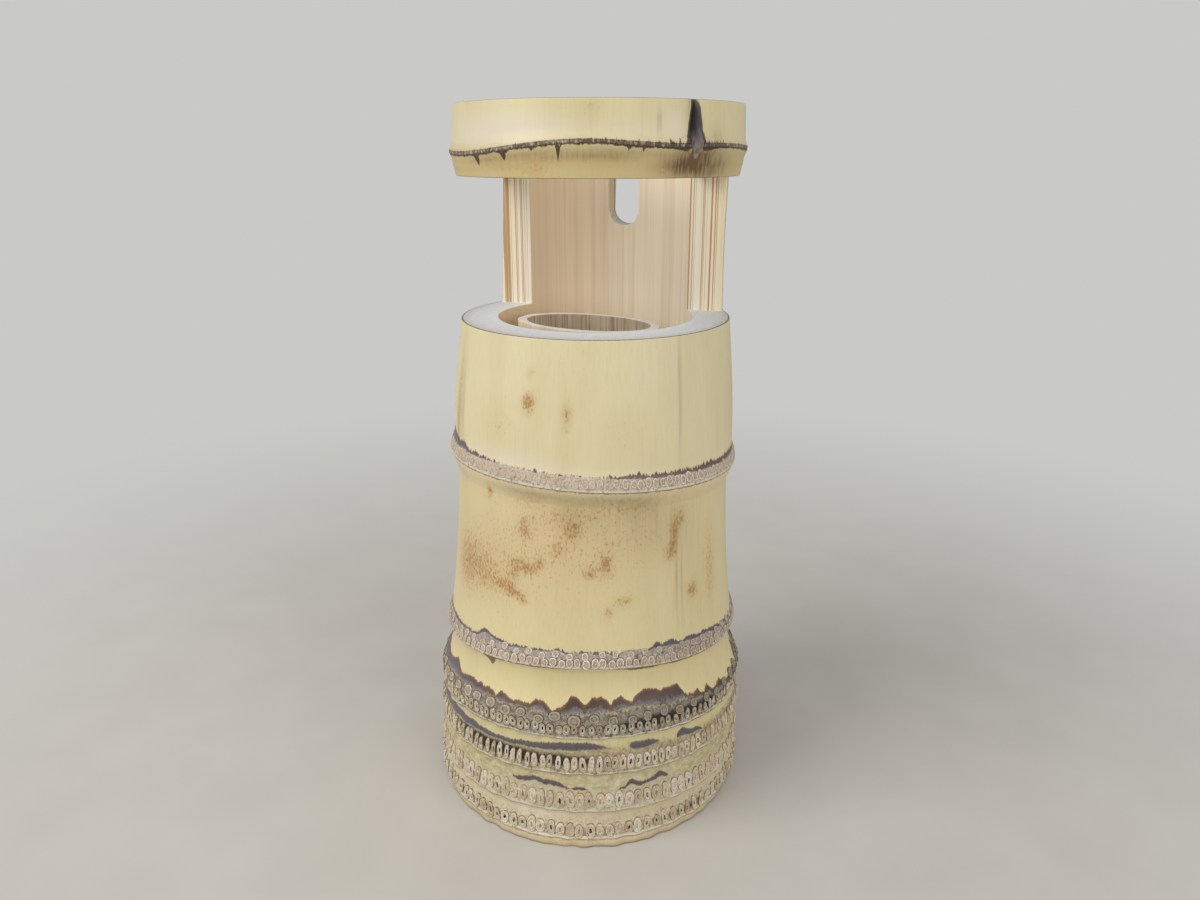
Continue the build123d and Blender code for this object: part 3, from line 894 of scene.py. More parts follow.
# %% Root scars
SCAR_SIDES = 14
SCAR_RINGS = [(1.0, -0.5), (0.96, 0.25), (0.88, 0.72), (0.76, 0.76), (0.64, 0.5), (0.54, 0.6), (0.42, 0.64),
              (0.32, 0.24), (0.14, 0.0)]
SCAR_ROWS = {
    # node: rows of scars, each with its middle above the lip, number, half width, half height, relief,
    # paleness and share of open pits
    "root_4": [(3.2, 106, 1.85, 3.1, 0.6, 1.0, 0.5)],
    "root_3": [(4.9, 106, 1.85, 3.7, 0.55, 1.0, 0.35)],
    "root_2": [(4.6, 130, 1.5, 3.4, 0.6, 0.85, 0.75)],
    "root_1": [(4.0, 130, 1.5, 2.4, 0.65, 0.3, 0.95), (7.6, 56, 2.6, 1.9, 0.4, 0.0, 0.0)],
    "lower": [(2.0, 122, 1.5, 1.95, 0.4, 1.0, 0.0), (4.7, 68, 1.4, 1.3, 0.25, 1.0, 0.0)],
    "middle": [(2.8, 124, 1.42, 1.9, 0.12, 1.0, 0.0)],
}
# node: angle, width, and how much paler or slimmer the scars are there
PALER = {"root_1": (-138, 36, 0.7), "root_2": (-40, 30, 0.15), "lower": (-36, 22, -0.45)}
SLIM = {"root_1": (-42, 26, 0.24), "root_2": (-108, 34, 0.2), "root_4": (-34, 20, 0.22)}
OUTLINES = {
    # node: darkness of the scars' outlines, and a bell of more or less: angle, width, change
    "root_4": (0.55, -130, 30, 0.4), "root_3": (0.3, -50, 16, 0.4), "root_2": (0.45, -108, 36, 0.5),
    "root_1": (0.9, -60, 40, 0.1), "lower": (0.6, -76, 22, 0.4), "middle": (0.05, -43, 26, 0.85),
}

# %% [markdown]
# A scar is worked out flat, as squarish ovals round its pit, and then bent onto the skin by its angle and
# height. The relief lifts each ring off the skin, and a healed scar has no pit.

# %% Scars bent onto the skin
SQUARISH, SLIM_INSIDE, LONG_INSIDE = 0.85, 1.15, 0.9
HEALED_LIFT = 0.72


def root_scars(name):
    """One piece with all the root scars of a node."""
    places = []
    for row, (above, count, wide, tall, relief, pale, open_pits) in enumerate(SCAR_ROWS[name]):
        at = (np.arange(count) + row / 2 + rng.uniform(-0.12, 0.12, count)) * 360 / count
        slim_at, slim_width, slimmer = SLIM.get(name, (0, 1, 0))
        sizes = rng.uniform(0.8, 1.1, (count, 2)) * (wide, tall)
        sizes[:, 0] *= 1 - slimmer * bell(turned(at - slim_at), slim_width)
        pale_at, pale_width, paler = PALER.get(name, (0, 1, 0))
        pales = pale + paler * bell(turned(at - pale_at), pale_width)
        lifts = above + rng.uniform(-0.4, 0.4, count) * (1 + row)
        tips = rng.uniform(-0.16, 0.16, count)
        tones = rng.uniform(0, 1, count)
        pits = np.where(rng.uniform(0, 1, count) < open_pits, 1.0, rng.uniform(0.1, 0.5, count))
        highs = relief * rng.uniform(0.7, 1.2, count)
        closed = np.full(count, 0.0 if open_pits else 1.0)
        places.append(np.column_stack([at, lifts, sizes, tips, highs, pales, tones, pits, closed]))
    at, above, wide, tall, tip, relief, pale, tone, pit, healed = np.concatenate(places).T[:, :, None, None]
    share, profile = np.array(SCAR_RINGS).T[:, None, :, None]
    turn = np.linspace(0, 2 * math.pi, SCAR_SIDES, endpoint=False)[None, None, :]
    across = np.sign(np.cos(turn)) * np.abs(np.cos(turn)) ** SQUARISH * share ** SLIM_INSIDE
    along = np.sign(np.sin(turn)) * np.abs(np.sin(turn)) ** SQUARISH * share ** LONG_INSIDE
    lip = NODES[name]["lip"]
    skin_at = np.interp(lip, outline_z, outline_r)
    angle = at + np.degrees((wide * across * np.cos(tip) - tall * along * np.sin(tip)) / skin_at)
    height = np.maximum(lip + above + tall * along * np.cos(tip) + wide * across * np.sin(tip), 0.15)
    x, y, z = skin_point(angle, height)
    filled = np.where(share < 0.7, np.maximum(healed, 0.8 * (1 - pit)), 0.0)
    lift = relief * (profile * (1 - filled) + HEALED_LIFT * filled)
    x, y = x + lift * np.cos(np.radians(angle)), y + lift * np.sin(np.radians(angle))
    z = np.maximum(z, 0.1)
    spots.clear()
    ring = put(x, y, z)
    closing = np.concatenate([ring, ring[:, :, :1]], 2)
    quads = np.stack([closing[:, :-1, :-1], closing[:, :-1, 1:], closing[:, 1:, 1:], closing[:, 1:, :-1]], -1)
    faces = quads.reshape(-1, 4).tolist() + ring[:, -1].tolist() + ring[:, 0, ::-1].tolist()
    dark, dark_at, dark_width, darker = OUTLINES[name]
    outlined = dark + darker * bell(turned(at - dark_at), dark_width)
    notes = {"ring": share, "tone": tone, "pale": pale, "pit": pit, "healed": healed, "outlined": outlined}
    shares = {note: np.broadcast_to(value, ring.shape).ravel() for note, value in notes.items()}
    piece, _ = make_piece("root_scars_" + name, faces, [0] * len(faces), "culm", shares)
    print(piece.name, len(at), "scars,", len(faces), "faces")
    return piece


scar_pieces = [root_scars(name) for name in SCAR_ROWS]

# %% [markdown]
# ## The bud
# A dormant bud sits on the ring's node, at the lower end of the groove that it pressed into the stem: a slim
# drop, wide and rounded below, pointed above. It is lofted as a stack of flat ovals along the skin.

# %% Bud on the ring
BUD_LOW, BUD_HIGH, BUD_WIDE, BUD_THICK = 243.6, 259.4, 2.3, 1.5
BUD_ROWS, BUD_SIDES = 22, 28
bud_share = np.linspace(0, 1, BUD_ROWS)[:, None]
bud_turn = np.linspace(0, 2 * math.pi, BUD_SIDES, endpoint=False)[None, :]
fullness = np.sin(math.pi * np.clip(bud_share, 0.02, 0.98) ** 0.75) ** 0.8
skin_at_bud = np.interp(BUD_LOW, outline_z, outline_r)
angle = BUD_ANGLE + np.degrees(BUD_WIDE * fullness * np.cos(bud_turn) / skin_at_bud)
height = BUD_LOW + (BUD_HIGH - BUD_LOW) * bud_share + 0 * bud_turn
scales = 1 + 0.12 * np.sin(bud_share * 16 + 3 * np.abs(np.cos(bud_turn)))
lift = fullness * np.where(np.sin(bud_turn) > 0, BUD_THICK * scales, 0.8) * np.sin(bud_turn)
x, y, z = skin_point(angle, height)
x, y = x + lift * np.cos(np.radians(angle)), y + lift * np.sin(np.radians(angle))
spots.clear()
bud_side = 0.5 + 0.5 * np.cos(bud_turn)
bud_grid = put(x, y, z, height=bud_share + 0 * bud_turn, depth=bud_side + 0 * bud_share)
facets, finishes = [], []
lay(bud_grid, 0, closed=True)
facets += [bud_grid[0].tolist(), bud_grid[-1, ::-1].tolist()]
notes = np.concatenate(spots)
bud, _ = make_piece("ring_bud", facets, [0] * len(facets), "culm",
                    {"ring": notes[:, HEIGHT], "side": notes[:, DEPTH]})
print("bud of", len(facets), "faces")

# %% [markdown]
# ## The water tube
# The tube is a thin length of bamboo with its skin shaved off by a knife, so its outside is a round of narrow
# flats. One of its own nodes was kept as its floor. It is measured from its solid as the culm was: the rim is
# sawn a little out of square, so three depths on the rim give the plane of the cut.

# %% Gauge the tube
tube_solid = solid_tree("inner_tube")
tube_low, tube_high = [np.array(corner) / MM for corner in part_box("inner_tube")]
TUBE_X, TUBE_Y = (tube_low[:2] + tube_high[:2]) / 2
TUBE = (tube_high[0] - tube_low[0]) / 2
TUBE_IN = gauge(tube_solid, (TUBE_X, TUBE_Y, (FLOOR + RIM) / 2), RIGHT)[0] - TUBE_X
WATER_FLOOR = gauge(tube_solid, (TUBE_X, TUBE_Y, RIM), DOWN)[2]
FOOT_TOP = gauge(tube_solid, (TUBE_X, TUBE_Y, -FAR), UP)[2]
middle_of_wall = (TUBE + TUBE_IN) / 2
rim_right, rim_left, rim_back = [
    gauge(tube_solid, (TUBE_X + dx * middle_of_wall, TUBE_Y + dy * middle_of_wall, 2 * FAR), DOWN)[2]
    for dx, dy in ((1, 0), (-1, 0), (0, 1))
]
rim_middle = (rim_right + rim_left) / 2
slope_x = (rim_right - rim_left) / (2 * middle_of_wall)
slope_y = (rim_back - rim_middle) / middle_of_wall
print("tube %.2f / %.2f at %.2f, %.2f, rim %.2f" % (TUBE, TUBE_IN, TUBE_X, TUBE_Y, rim_middle))

# %% [markdown]
# Two dozen flats of uneven width make the tube's round, and their edges lie on the round of the solid. The
# rows of points run up to the sloping rim, outside and inside.

# %% The tube
TUBE_COLUMNS, TUBE_ROWS, FLATS = 216, 19, 24
tube_turn = np.linspace(0, 2 * math.pi, TUBE_COLUMNS, endpoint=False)[None, :]
flat_edges = np.sort((np.arange(FLATS) + rng.uniform(0.1, 0.7, FLATS)) * 2 * math.pi / FLATS)
flat_edges = np.concatenate([[flat_edges[-1] - 2 * math.pi], flat_edges, [flat_edges[0] + 2 * math.pi]])
flat = np.searchsorted(flat_edges, tube_turn[0]) - 1
flat_middle = (flat_edges[flat] + flat_edges[flat + 1]) / 2
flat_half = (flat_edges[flat + 1] - flat_edges[flat]) / 2
shaved = (TUBE * np.cos(flat_half) / np.cos(tube_turn[0] - flat_middle))[None, :]
spots.clear()
facets.clear()
finishes.clear()


def tube_rows(radius, low, shares):
    """Rows of points from a level up to the sloping rim, or level where shares is one number."""
    x, y = TUBE_X + radius * np.cos(tube_turn), TUBE_Y + radius * np.sin(tube_turn)
    rim = rim_middle + slope_x * (x - TUBE_X) + slope_y * (y - TUBE_Y)
    return put(x + 0 * shares, y + 0 * shares, low + (rim - low) * shares)


up_the_wall = np.linspace(0, 1, TUBE_ROWS)[:, None]
outside = tube_rows(shaved, FLOOR, up_the_wall)
bored = TUBE_IN + ripple(tube_turn, (0.12, 2, 1), (0.08, 5, 0))
inner_wall = tube_rows(bored, WATER_FLOOR, up_the_wall)
foot_edge = tube_rows(bored, FLOOR, up_the_wall[:1])
foot_end = put(TUBE_X + bored * np.cos(tube_turn), TUBE_Y + bored * np.sin(tube_turn), FOOT_TOP)
lay(outside, 0, closed=True)
lay(inner_wall, 1, closed=True)
lay(join(outside[-1], inner_wall[-1], 3), 2, closed=True)
lay(join(outside[0], foot_edge[0], 3), 2, closed=True)
lay(np.concatenate([foot_edge, foot_end]), 1, closed=True)
cap(inner_wall[0], 1, TUBE_X, TUBE_Y, WATER_FLOOR)
cap(foot_end[0], 1, TUBE_X, TUBE_Y, FOOT_TOP)
tube, _ = make_piece("water_tube_shaved", facets, finishes, "water_tube", {})
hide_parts("inner_tube")
ease_edges(tube, 0.3)
print("tube of", len(facets), "faces")

# %% [markdown]
# ## Mixing colours
# Colours are written as sRGB hex values, as a paint chart gives them, and one function turns them to the
# linear numbers that Blender's sockets take. Another adds a shader node with its settings, socket values and
# links. Three more put together what every finish here needs: a grain of a real size, a colour painted over
# another where a pattern is strong, and the coat of colour and relief that a surface gets.

# %% Colours and nodes
# Sockets of a Mix node that blends two colours
FACTOR, UNDER, OVER = 0, 6, 7
# The output that is used of a node that has several
OUTPUTS = {"Mix": 2, "Attribute": "Fac", "TexCoord": "Object", "VectorMath": "Value"}


def linear(hex_colour):
    """sRGB hex to linear red, green, blue and an alpha of one."""
    parts = [int(hex_colour[i:i + 2], 16) / 255 for i in (1, 3, 5)]
    return (*[p / 12.92 if p <= 0.04045 else ((p + 0.055) / 1.055) ** 2.4 for p in parts], 1.0)


def add(tree, kind, sockets=(), out=None, ramp=(), steps=(), **settings):
    """Adds one shader node and gives its output. A socket gets a value, a hex colour or another output."""
    made = tree.nodes.new("ShaderNode" + kind)
    if kind == "Mix":
        made.data_type = "RGBA"
    for name, value in settings.items():
        setattr(made, name, value)
    if steps:
        made.color_ramp.interpolation = "CONSTANT"
    for k, (position, colour) in enumerate(ramp or steps):
        elements = made.color_ramp.elements
        if k == 0:
            elements.remove(elements[1])
        element = elements[0] if k == 0 else elements.new(position)
        element.position = position
        element.color = linear(colour)
    for name, value in sockets.items() if isinstance(sockets, dict) else enumerate(sockets):
        if isinstance(value, bpy.types.NodeSocket):
            tree.links.new(value, made.inputs[name])
        else:
            made.inputs[name].default_value = linear(value) if isinstance(value, str) else value
    return made.outputs[out or OUTPUTS.get(kind, 0)]


# %% [markdown]
# Sockets are filled by name, or in order: a Math node takes its numbers, and a Map Range node takes a value,
# the range it comes from and the range it goes to. Every pattern is sized in real millimetres.

# %% Materials, grains and coats
def new_material(name, roughness, ior):
    """A material with its shader, and the object coordinates that patterns are placed by."""
    material = bpy.data.materials.new(name)
    material.use_nodes = True
    tree = material.node_tree
    surface = tree.nodes["Principled BSDF"]
    surface.inputs["Roughness"].default_value = roughness
    surface.inputs["IOR"].default_value = ior
    return material, tree, surface, add(tree, "TexCoord")


def per_metre(x, y, z):
    """Pattern scale from the real sizes of its grain in millimetres."""
    return (1 / (x * MM), 1 / (y * MM), 1 / (z * MM))


def grain(tree, place, x, y, z, detail, roughness=0.5):
    """An uneven pattern with blots of about x by y by z millimetres."""
    scaled = add(tree, "Mapping", {"Vector": place, "Scale": per_metre(x, y, z)})
    return add(tree, "TexNoise", {"Vector": scaled, "Scale": 1.0, "Detail": detail, "Roughness": roughness})


def paint(tree, under, over, pattern, low, high, most=1.0):
    """A colour painted over another. Its share grows from none to most as a pattern goes from low to high."""
    share = add(tree, "MapRange", (pattern, low, high, 0.0, most))
    return add(tree, "Mix", {FACTOR: share, UNDER: under, OVER: over})


def coat(tree, surface, colour, relief, deep, strength):
    """Gives a surface its colour, and a relief that is so many millimetres deep."""
    bump = add(tree, "Bump", {"Height": relief, "Distance": deep * MM, "Strength": strength})
    tree.links.new(colour, surface.inputs["Base Color"])
    tree.links.new(bump, surface.inputs["Normal"])


# %% [markdown]
# ## Bamboo skin, dried and bleached
# The outside of the culm is its natural skin: smooth and waxy, pale straw colour, greener near the root, with
# fine streaks along the stem. Wax gives it a soft shine that is broken on the rough bands.

# %% Bamboo skin
WAX_ROUGHNESS, CORK_ROUGHNESS = 0.42, 0.85
skin_material, tree, surface, place = new_material("bamboo_skin_dried_waxy", WAX_ROUGHNESS, 1.47)
freckles, smudges, bloom, above, band_share, gap, mark_low, mark_high, under_lip, node_number = [
    add(tree, "Attribute", attribute_name=name)
    for name in ("freckles", "smudges", "bloom", "above_lip", "band_share", "gap", "mark_low", "mark_high",
                 "under_lip", "node_number")
]
height_share = add(tree, "MapRange", (add(tree, "SeparateXYZ", (place,), "Z"), 0.0, TOP * MM))
straw = add(tree, "ValToRGB", (height_share,), ramp=[
    (0.000, "#54462c"), (0.0012, "#6d5c3a"), (0.003, "#bfac88"), (0.006, "#d6c6a8"), (0.05, "#d8cba8"),
    (0.16, "#d2c695"), (0.20, "#decf9c"), (0.27, "#dfd09d"), (0.34, "#ddcd9f"), (0.50, "#dccca0"),
    (0.55, "#e1d4aa"), (0.72, "#e0d4aa"), (0.905, "#d0bd8a"), (0.940, "#c9b47f"), (0.955, "#dccfa2"),
    (1.00, "#ddd0a2"),
])
mottled = paint(tree, straw, "#d0bf90", grain(tree, place, 16, 16, 90, 3), 0.45, 0.75, 0.55)
olive = add(tree, "MapRange", (grain(tree, place, 2.4, 2.4, 1.6, 5, 0.65), 0.36, 0.66, 0.0, 0.7))
olive_where = add(tree, "ValToRGB", (height_share,), ramp=[
    (0.0, "#a0a0a0"), (0.02, "#808080"), (0.034, "#404040"), (0.08, "#ffffff"), (0.12, "#f0f0f0"),
    (0.14, "#808080"), (0.18, "#000000"),
])
olive_share = add(tree, "Math", (olive, olive_where), operation="MULTIPLY")
rooty = add(tree, "Mix", {FACTOR: olive_share, UNDER: mottled, OVER: "#857b48"})
streak = grain(tree, place, 0.9, 0.9, 40, 2)
streak_tone = add(tree, "ValToRGB", (streak,), ramp=[(0.3, "#fbfaf6"), (0.5, "#ffffff"), (0.7, "#fbf9f4")])
streaked = add(tree, "Mix", {FACTOR: 1.0, UNDER: rooty, OVER: streak_tone}, blend_type="MULTIPLY")

# %% [markdown]
# Freckles are specks under a millimetre wide, drawn where their cloud is strong, on skin that is tanned
# there. Smudges and bloom are soft, and the smudges follow the streaks.

# %% Freckles, smudges and bloom
tanned = paint(tree, streaked, "#c2924e", freckles, 0.0, 1.2, 0.5)
speck = grain(tree, place, 0.75, 0.75, 1.3, 3, 0.6)
speck_limit = add(tree, "MapRange", (freckles, 0.0, 1.2, 0.68, 0.38))
speck_over = add(tree, "Math", (speck, speck_limit), operation="SUBTRACT")
freckled = paint(tree, tanned, "#95622c", speck_over, 0.0, 0.2, 0.7)
smudge_streaks = add(tree, "MapRange", (streak, 0.3, 0.65, 0.6, 1.15))
smudge_share = add(tree, "Math", (smudges, smudge_streaks), operation="MULTIPLY")
smudged = add(tree, "Mix", {FACTOR: smudge_share, UNDER: freckled, OVER: "#6a4e31"})
bloom_share = add(tree, "Math", (bloom, 0.75), operation="MULTIPLY")
bloomed = add(tree, "Mix", {FACTOR: bloom_share, UNDER: smudged, OVER: "#e2d8cd"})

# %% [markdown]
# The bands over the lips are corky: grey-lilac on the upper nodes, grey-green to pale on the root nodes.
# Ramps that step without blending pick a node's colours by its number, and the distance above the lip says
# where the band lies.

# %% Bands over the lips
node_share = add(tree, "MapRange", (node_number, 0.0, len(NODES)))


def by_node(*colours):
    """The steps of a ramp with one colour for each node, from the foot up."""
    return [((k - 0.5) / len(colours) if k else 0.0, colour) for k, colour in enumerate(colours)]


cork_light, cork_dark, cork_top = [
    add(tree, "ValToRGB", (node_share,), steps=by_node(*colours)) for colours in (
        ("#d8cbb2", "#dcd2bc", "#cdbfa2", "#b8ad9a", "#c9b9a9", "#d3c4b0", "#a8957c"),
        ("#9c8562", "#b3a285", "#83704f", "#5d5346", "#6d6058", "#98867a", "#3a2a22"),
        ("#cbbf9f", "#b9b08c", "#a3946f", "#77695a", "#a0928c", "#c8b8a9", "#8d7a66"),
    )
]
crumble = grain(tree, place, 1.1, 1.1, 1.3, 4, 0.6)
worn = add(tree, "MapRange", (crumble, 0.3, 0.7, -0.5, 0.5))
worn_band = add(tree, "Math", (worn, 0.25, band_share), operation="MULTIPLY_ADD")
cork = paint(tree, cork_dark, cork_light, crumble, 0.36, 0.62)
topped = paint(tree, cork, cork_top, worn_band, 0.6, 0.9, 0.6)
over_lip = add(tree, "MapRange", (band_share, -0.05, 0.03))
under_top = add(tree, "MapRange", (worn_band, 0.94, 1.1, 1.0, 0.0))
in_band = add(tree, "Math", (over_lip, under_top), operation="MULTIPLY")
banded = add(tree, "Mix", {FACTOR: in_band, UNDER: bloomed, OVER: topped})
worn_gap = add(tree, "Math", (worn, 0.5, gap), operation="MULTIPLY_ADD")
gapped = paint(tree, banded, "#1d1611", worn_gap, 0.35, 0.75, 0.95)

# %% [markdown]
# A dark mark is brown at its upper edge, then purple-brown, and slate blue where it meets the band or lies
# far to the left. On the ring its crust is a comb of fine bristles, and on the other nodes its edge is only a
# little ragged.

# %% Colours of the marks
mark_edge, mark_deep, mark_fringe, bristle_size, crumble_size = [
    add(tree, "ValToRGB", (node_share,), steps=by_node(*colours)) for colours in (
        ("#6a5545", "#5b4a52", "#5c5058", "#7d4a24", "#5a4f60", "#6b4b45", "#614a3f"),
        ("#4a3f40", "#4b3f4c", "#454050", "#3c2426", "#3f3650", "#44343f", "#33261f"),
        ("#7d7468", "#6f6570", "#6a6570", "#837d86", "#7b7280", "#8f7c78", "#4a3828"),
        ("#707070", "#707070", "#707070", "#909090", "#b4b4b4", "#dcdcdc", "#ffffff"),
        ("#b0b0b0", "#b0b0b0", "#b0b0b0", "#ffffff", "#b0b0b0", "#b0b0b0", "#b0b0b0"),
    )
]
to_the_right = add(tree, "SeparateXYZ", (place,), "X")
mark_slate = paint(tree, mark_deep, "#5f5a6c", to_the_right, -22 * MM, -44 * MM, 0.75)
bristle = add(tree, "MapRange", (grain(tree, place, 0.7, 0.7, 7, 2), 0.3, 0.7, -1.3, 1.3))
bristle_tall = add(tree, "Math", (bristle, bristle_size), operation="MULTIPLY")
from_top = add(tree, "Math", (bristle_tall, mark_high), operation="ADD")
crumbled = add(tree, "Math", (worn, crumble_size), operation="MULTIPLY")
from_bottom = add(tree, "Math", (crumbled, 1.6, mark_low), operation="MULTIPLY_ADD")
into_mark = add(tree, "Math", (from_bottom, from_top), operation="MINIMUM")
mark_body = paint(tree, mark_edge, mark_slate, from_top, 0.3, 1.3)
worn_bottom = add(tree, "Math", (worn, 2.4, mark_low), operation="MULTIPLY_ADD")
near_bottom = add(tree, "MapRange", (worn_bottom, 0.0, 1.8, 0.85, 0.0))
off_the_top = add(tree, "MapRange", (from_top, 0.8, 2.4))
fringe_share = add(tree, "Math", (near_bottom, off_the_top), operation="MULTIPLY")
mark_colour = add(tree, "Mix", {FACTOR: fringe_share, UNDER: mark_body, OVER: mark_fringe})
marked = paint(tree, gapped, mark_colour, into_mark, -0.1, 0.25, 0.94)

# %% [markdown]
# The lip is a thin pale edge with a brown one under it. Cork is dull and crumbled, and on the wax the relief
# only shows faint streaks.

# %% Lips, shine and relief
edge_colour = add(tree, "ValToRGB", (node_share,), steps=by_node(
    "#9a8c6a", "#8f8462", "#84785a", "#7a5230", "#5f3f28", "#7a5a3a", "#3d2a1c"))
worn_under = add(tree, "Math", (worn, 0.8, under_lip), operation="MULTIPLY_ADD")
in_edge = add(tree, "MapRange", (worn_under, 0.0, 0.4))
below_lip = add(tree, "MapRange", (above, -0.1, 0.15, 0.85, 0.0))
edge_share = add(tree, "Math", (in_edge, below_lip), operation="MULTIPLY")
lip_brown = add(tree, "Mix", {FACTOR: edge_share, UNDER: marked, OVER: edge_colour})
lip_place = add(tree, "MapRange", (above, -4.0, 1.0))
on_lip = add(tree, "ValToRGB", (lip_place,), ramp=[
    (0.77, "#000000"), (0.79, "#e6e6e6"), (0.93, "#e6e6e6"), (0.97, "#000000")])
on_ring = add(tree, "Math", (node_share, 0.8), operation="GREATER_THAN")
lip_crumble = add(tree, "Math", (on_ring, -0.26, crumble), operation="MULTIPLY_ADD")
lip_wear = add(tree, "MapRange", (lip_crumble, 0.3, 0.5, 0.08, 1.0))
worn_lip = add(tree, "Math", (on_lip, lip_wear), operation="MULTIPLY")
lip_pale = add(tree, "Mix", {FACTOR: worn_lip, UNDER: lip_brown, OVER: "#e2d8c2"})
roughness = add(tree, "MapRange", (in_band, 0.0, 1.0, WAX_ROUGHNESS, CORK_ROUGHNESS))
tree.links.new(roughness, surface.inputs["Roughness"])
cork_relief = add(tree, "Math", (in_band, crumble), operation="MULTIPLY")
relief = add(tree, "Math", (streak, 0.06, cork_relief), operation="MULTIPLY_ADD")
coat(tree, surface, lip_pale, relief, 0.4, 0.8)
print(skin_material.name, len(tree.nodes), "nodes")

# %% [markdown]
# ## Sawn end grain
# The level faces were cut across the fibres with a fine saw. They are grey-white and matt, full of the dots
# of the fibre bundles, which stand closer together towards the skin, and the skin itself shows as a thin dark
# line. Their grey-white is partly the grain's own pale colour and partly painted light: it is made brighter
# and a little blue, and stands in for the light of the pale sky.

# %% Sawn end grain
sawn_material, tree, surface, place = new_material("bamboo_end_grain_fine_sawn", 0.8, 1.5)
depth = add(tree, "Attribute", attribute_name="depth")
scaled = add(tree, "Mapping", {"Vector": place, "Scale": per_metre(0.75, 0.75, 4)})
bundles = add(tree, "TexVoronoi", {"Vector": scaled, "Scale": 1.0}, "Distance")
dots = add(tree, "MapRange", (bundles, 0.15, 0.45, 0.55, 0.0))
towards_skin = add(tree, "MapRange", (depth, 0.0, 1.0, 1.0, 0.35))
dot_share = add(tree, "Math", (dots, towards_skin), operation="MULTIPLY")
# The bright blue-grey white of this ramp is partly the grain's own colour and partly painted sky light.
pith_with_painted_sky_tint = add(tree, "ValToRGB", (depth,), ramp=[
    (0.0, "#5d4429"), (0.03, "#6d5132"), (0.055, "#c9c4bb"), (0.3, "#dadbdb"), (1.0, "#e6e8e9")])
dotted = add(tree, "Mix", {FACTOR: dot_share, UNDER: pith_with_painted_sky_tint, OVER: "#b5b1ab"})
saw_marks = grain(tree, place, 0.7, 14, 3, 2)
coat(tree, surface, paint(tree, dotted, "#c4c3c1", saw_marks, 0.4, 0.75, 0.25), saw_marks, 0.1, 0.5)

# %% [markdown]
# ## Split grain
# The upright faces of the pillar were sawn along the fibres, so they show them as fine brown lines on cream,
# more of them towards the skin.

# %% Split grain
split_material, tree, surface, place = new_material("bamboo_long_grain_sanded", 0.6, 1.5)
depth = add(tree, "Attribute", attribute_name="depth")
fibre = grain(tree, place, 0.55, 0.55, 400, 1)
fibre_limit = add(tree, "MapRange", (depth, 0.0, 1.0, 0.5, 0.545))
fibre_over = add(tree, "Math", (fibre, fibre_limit), operation="SUBTRACT")
cream = add(tree, "ValToRGB", (depth,), ramp=[
    (0.0, "#8a6a3c"), (0.03, "#efdfba"), (0.3, "#f4e6c8"), (1.0, "#f6ecd6")])
coat(tree, surface, paint(tree, cream, "#b07d45", fibre_over, 0.0, 0.07, 0.85), fibre, 0.12, 0.6)

# %% [markdown]
# ## Scraped inside
# The bore's wall is soft tissue that was scraped clean: matt, tan at the left to cream at the right, with
# broad faint bands and fine hairs along the stem. The tan towards the left is painted shade on the side of
# the bore that is turned away from the window light, and the cream is the wall's own colour.

# %% Scraped inside
inside_material, tree, surface, place = new_material("bamboo_inside_scraped", 0.7, 1.5)
across = add(tree, "MapRange", (add(tree, "SeparateXYZ", (place,), "X"), -BORE * MM, BORE * MM))
# Painted shade: the wall darkens to tan towards the left.
painted_shade_tan_to_cream = add(tree, "ValToRGB", (across,), ramp=[
    (0.1, "#e8cfac"), (0.35, "#f3dcba"), (0.6, "#f9e9cc"), (0.9, "#f8ecd3")])
band_tone = paint(tree, painted_shade_tan_to_cream, "#d3b698", grain(tree, place, 3.2, 3.2, 140, 3), 0.45, 0.7, 0.35)
hairs = grain(tree, place, 0.6, 0.6, 90, 2)
coat(tree, surface, paint(tree, band_tone, "#bf9f7e", hairs, 0.5, 0.75, 0.25), hairs, 0.15, 0.6)
for material in (skin_material, sawn_material, split_material, inside_material):
    culm.data.materials.append(material)
print([material.name for material in culm.data.materials])

# %% [markdown]
# ## Root scars, trimmed and worn
# A root scar is corky and dull. Its rings are pale, the groove between them is brown, and the pit is nearly
# black. The share from the pit to the rim drives ramps, and each scar's own tone shifts them a little. Higher
# up the stem the scars have healed over: tan cells with a pale ring and a dark outline, or grey lumps.

# %% Root scar material
scar_material, tree, surface, place = new_material("bamboo_root_scar_corky", 0.85, 1.45)
ring, tone, pale, pit, healed, outlined = [
    add(tree, "Attribute", attribute_name=name)
    for name in ("ring", "tone", "pale", "pit", "healed", "outlined")
]
grit = grain(tree, place, 0.6, 0.6, 0.8, 3)
grit_shift = add(tree, "MapRange", (grit, 0.3, 0.7, -0.07, 0.07))
ring_place = add(tree, "Math", (grit_shift, ring), operation="ADD")
pale_rings = add(tree, "ValToRGB", (ring_place,), ramp=[
    (0.3, "#d8cfba"), (0.5, "#e6dfd0"), (0.6, "#b9ab92"), (0.68, "#dad0bb"), (0.84, "#e6dfd0"),
    (0.92, "#94846a"), (1.0, "#4f4230")])
dark_rings = add(tree, "ValToRGB", (ring_place,), ramp=[
    (0.3, "#d3ccb8"), (0.46, "#ded8c8"), (0.56, "#6f6658"), (0.68, "#b5ad9c"), (0.8, "#c6bfae"),
    (0.9, "#6f6656"), (1.0, "#2f2820")])
soft_rings = add(tree, "ValToRGB", (ring_place,), ramp=[
    (0.3, "#d9d0bb"), (0.5, "#e4dccb"), (0.6, "#cdbda0"), (0.7, "#e0d6c2"), (0.86, "#e3dac8"),
    (0.93, "#cba97d"), (1.0, "#a98d66")])
pale_outlined = add(tree, "Mix", {FACTOR: outlined, UNDER: soft_rings, OVER: pale_rings})
open_rings = add(tree, "Mix", {FACTOR: pale, UNDER: dark_rings, OVER: pale_outlined})
in_hollow = add(tree, "MapRange", (ring_place, 0.24, 0.34, 1.0, 0.0))
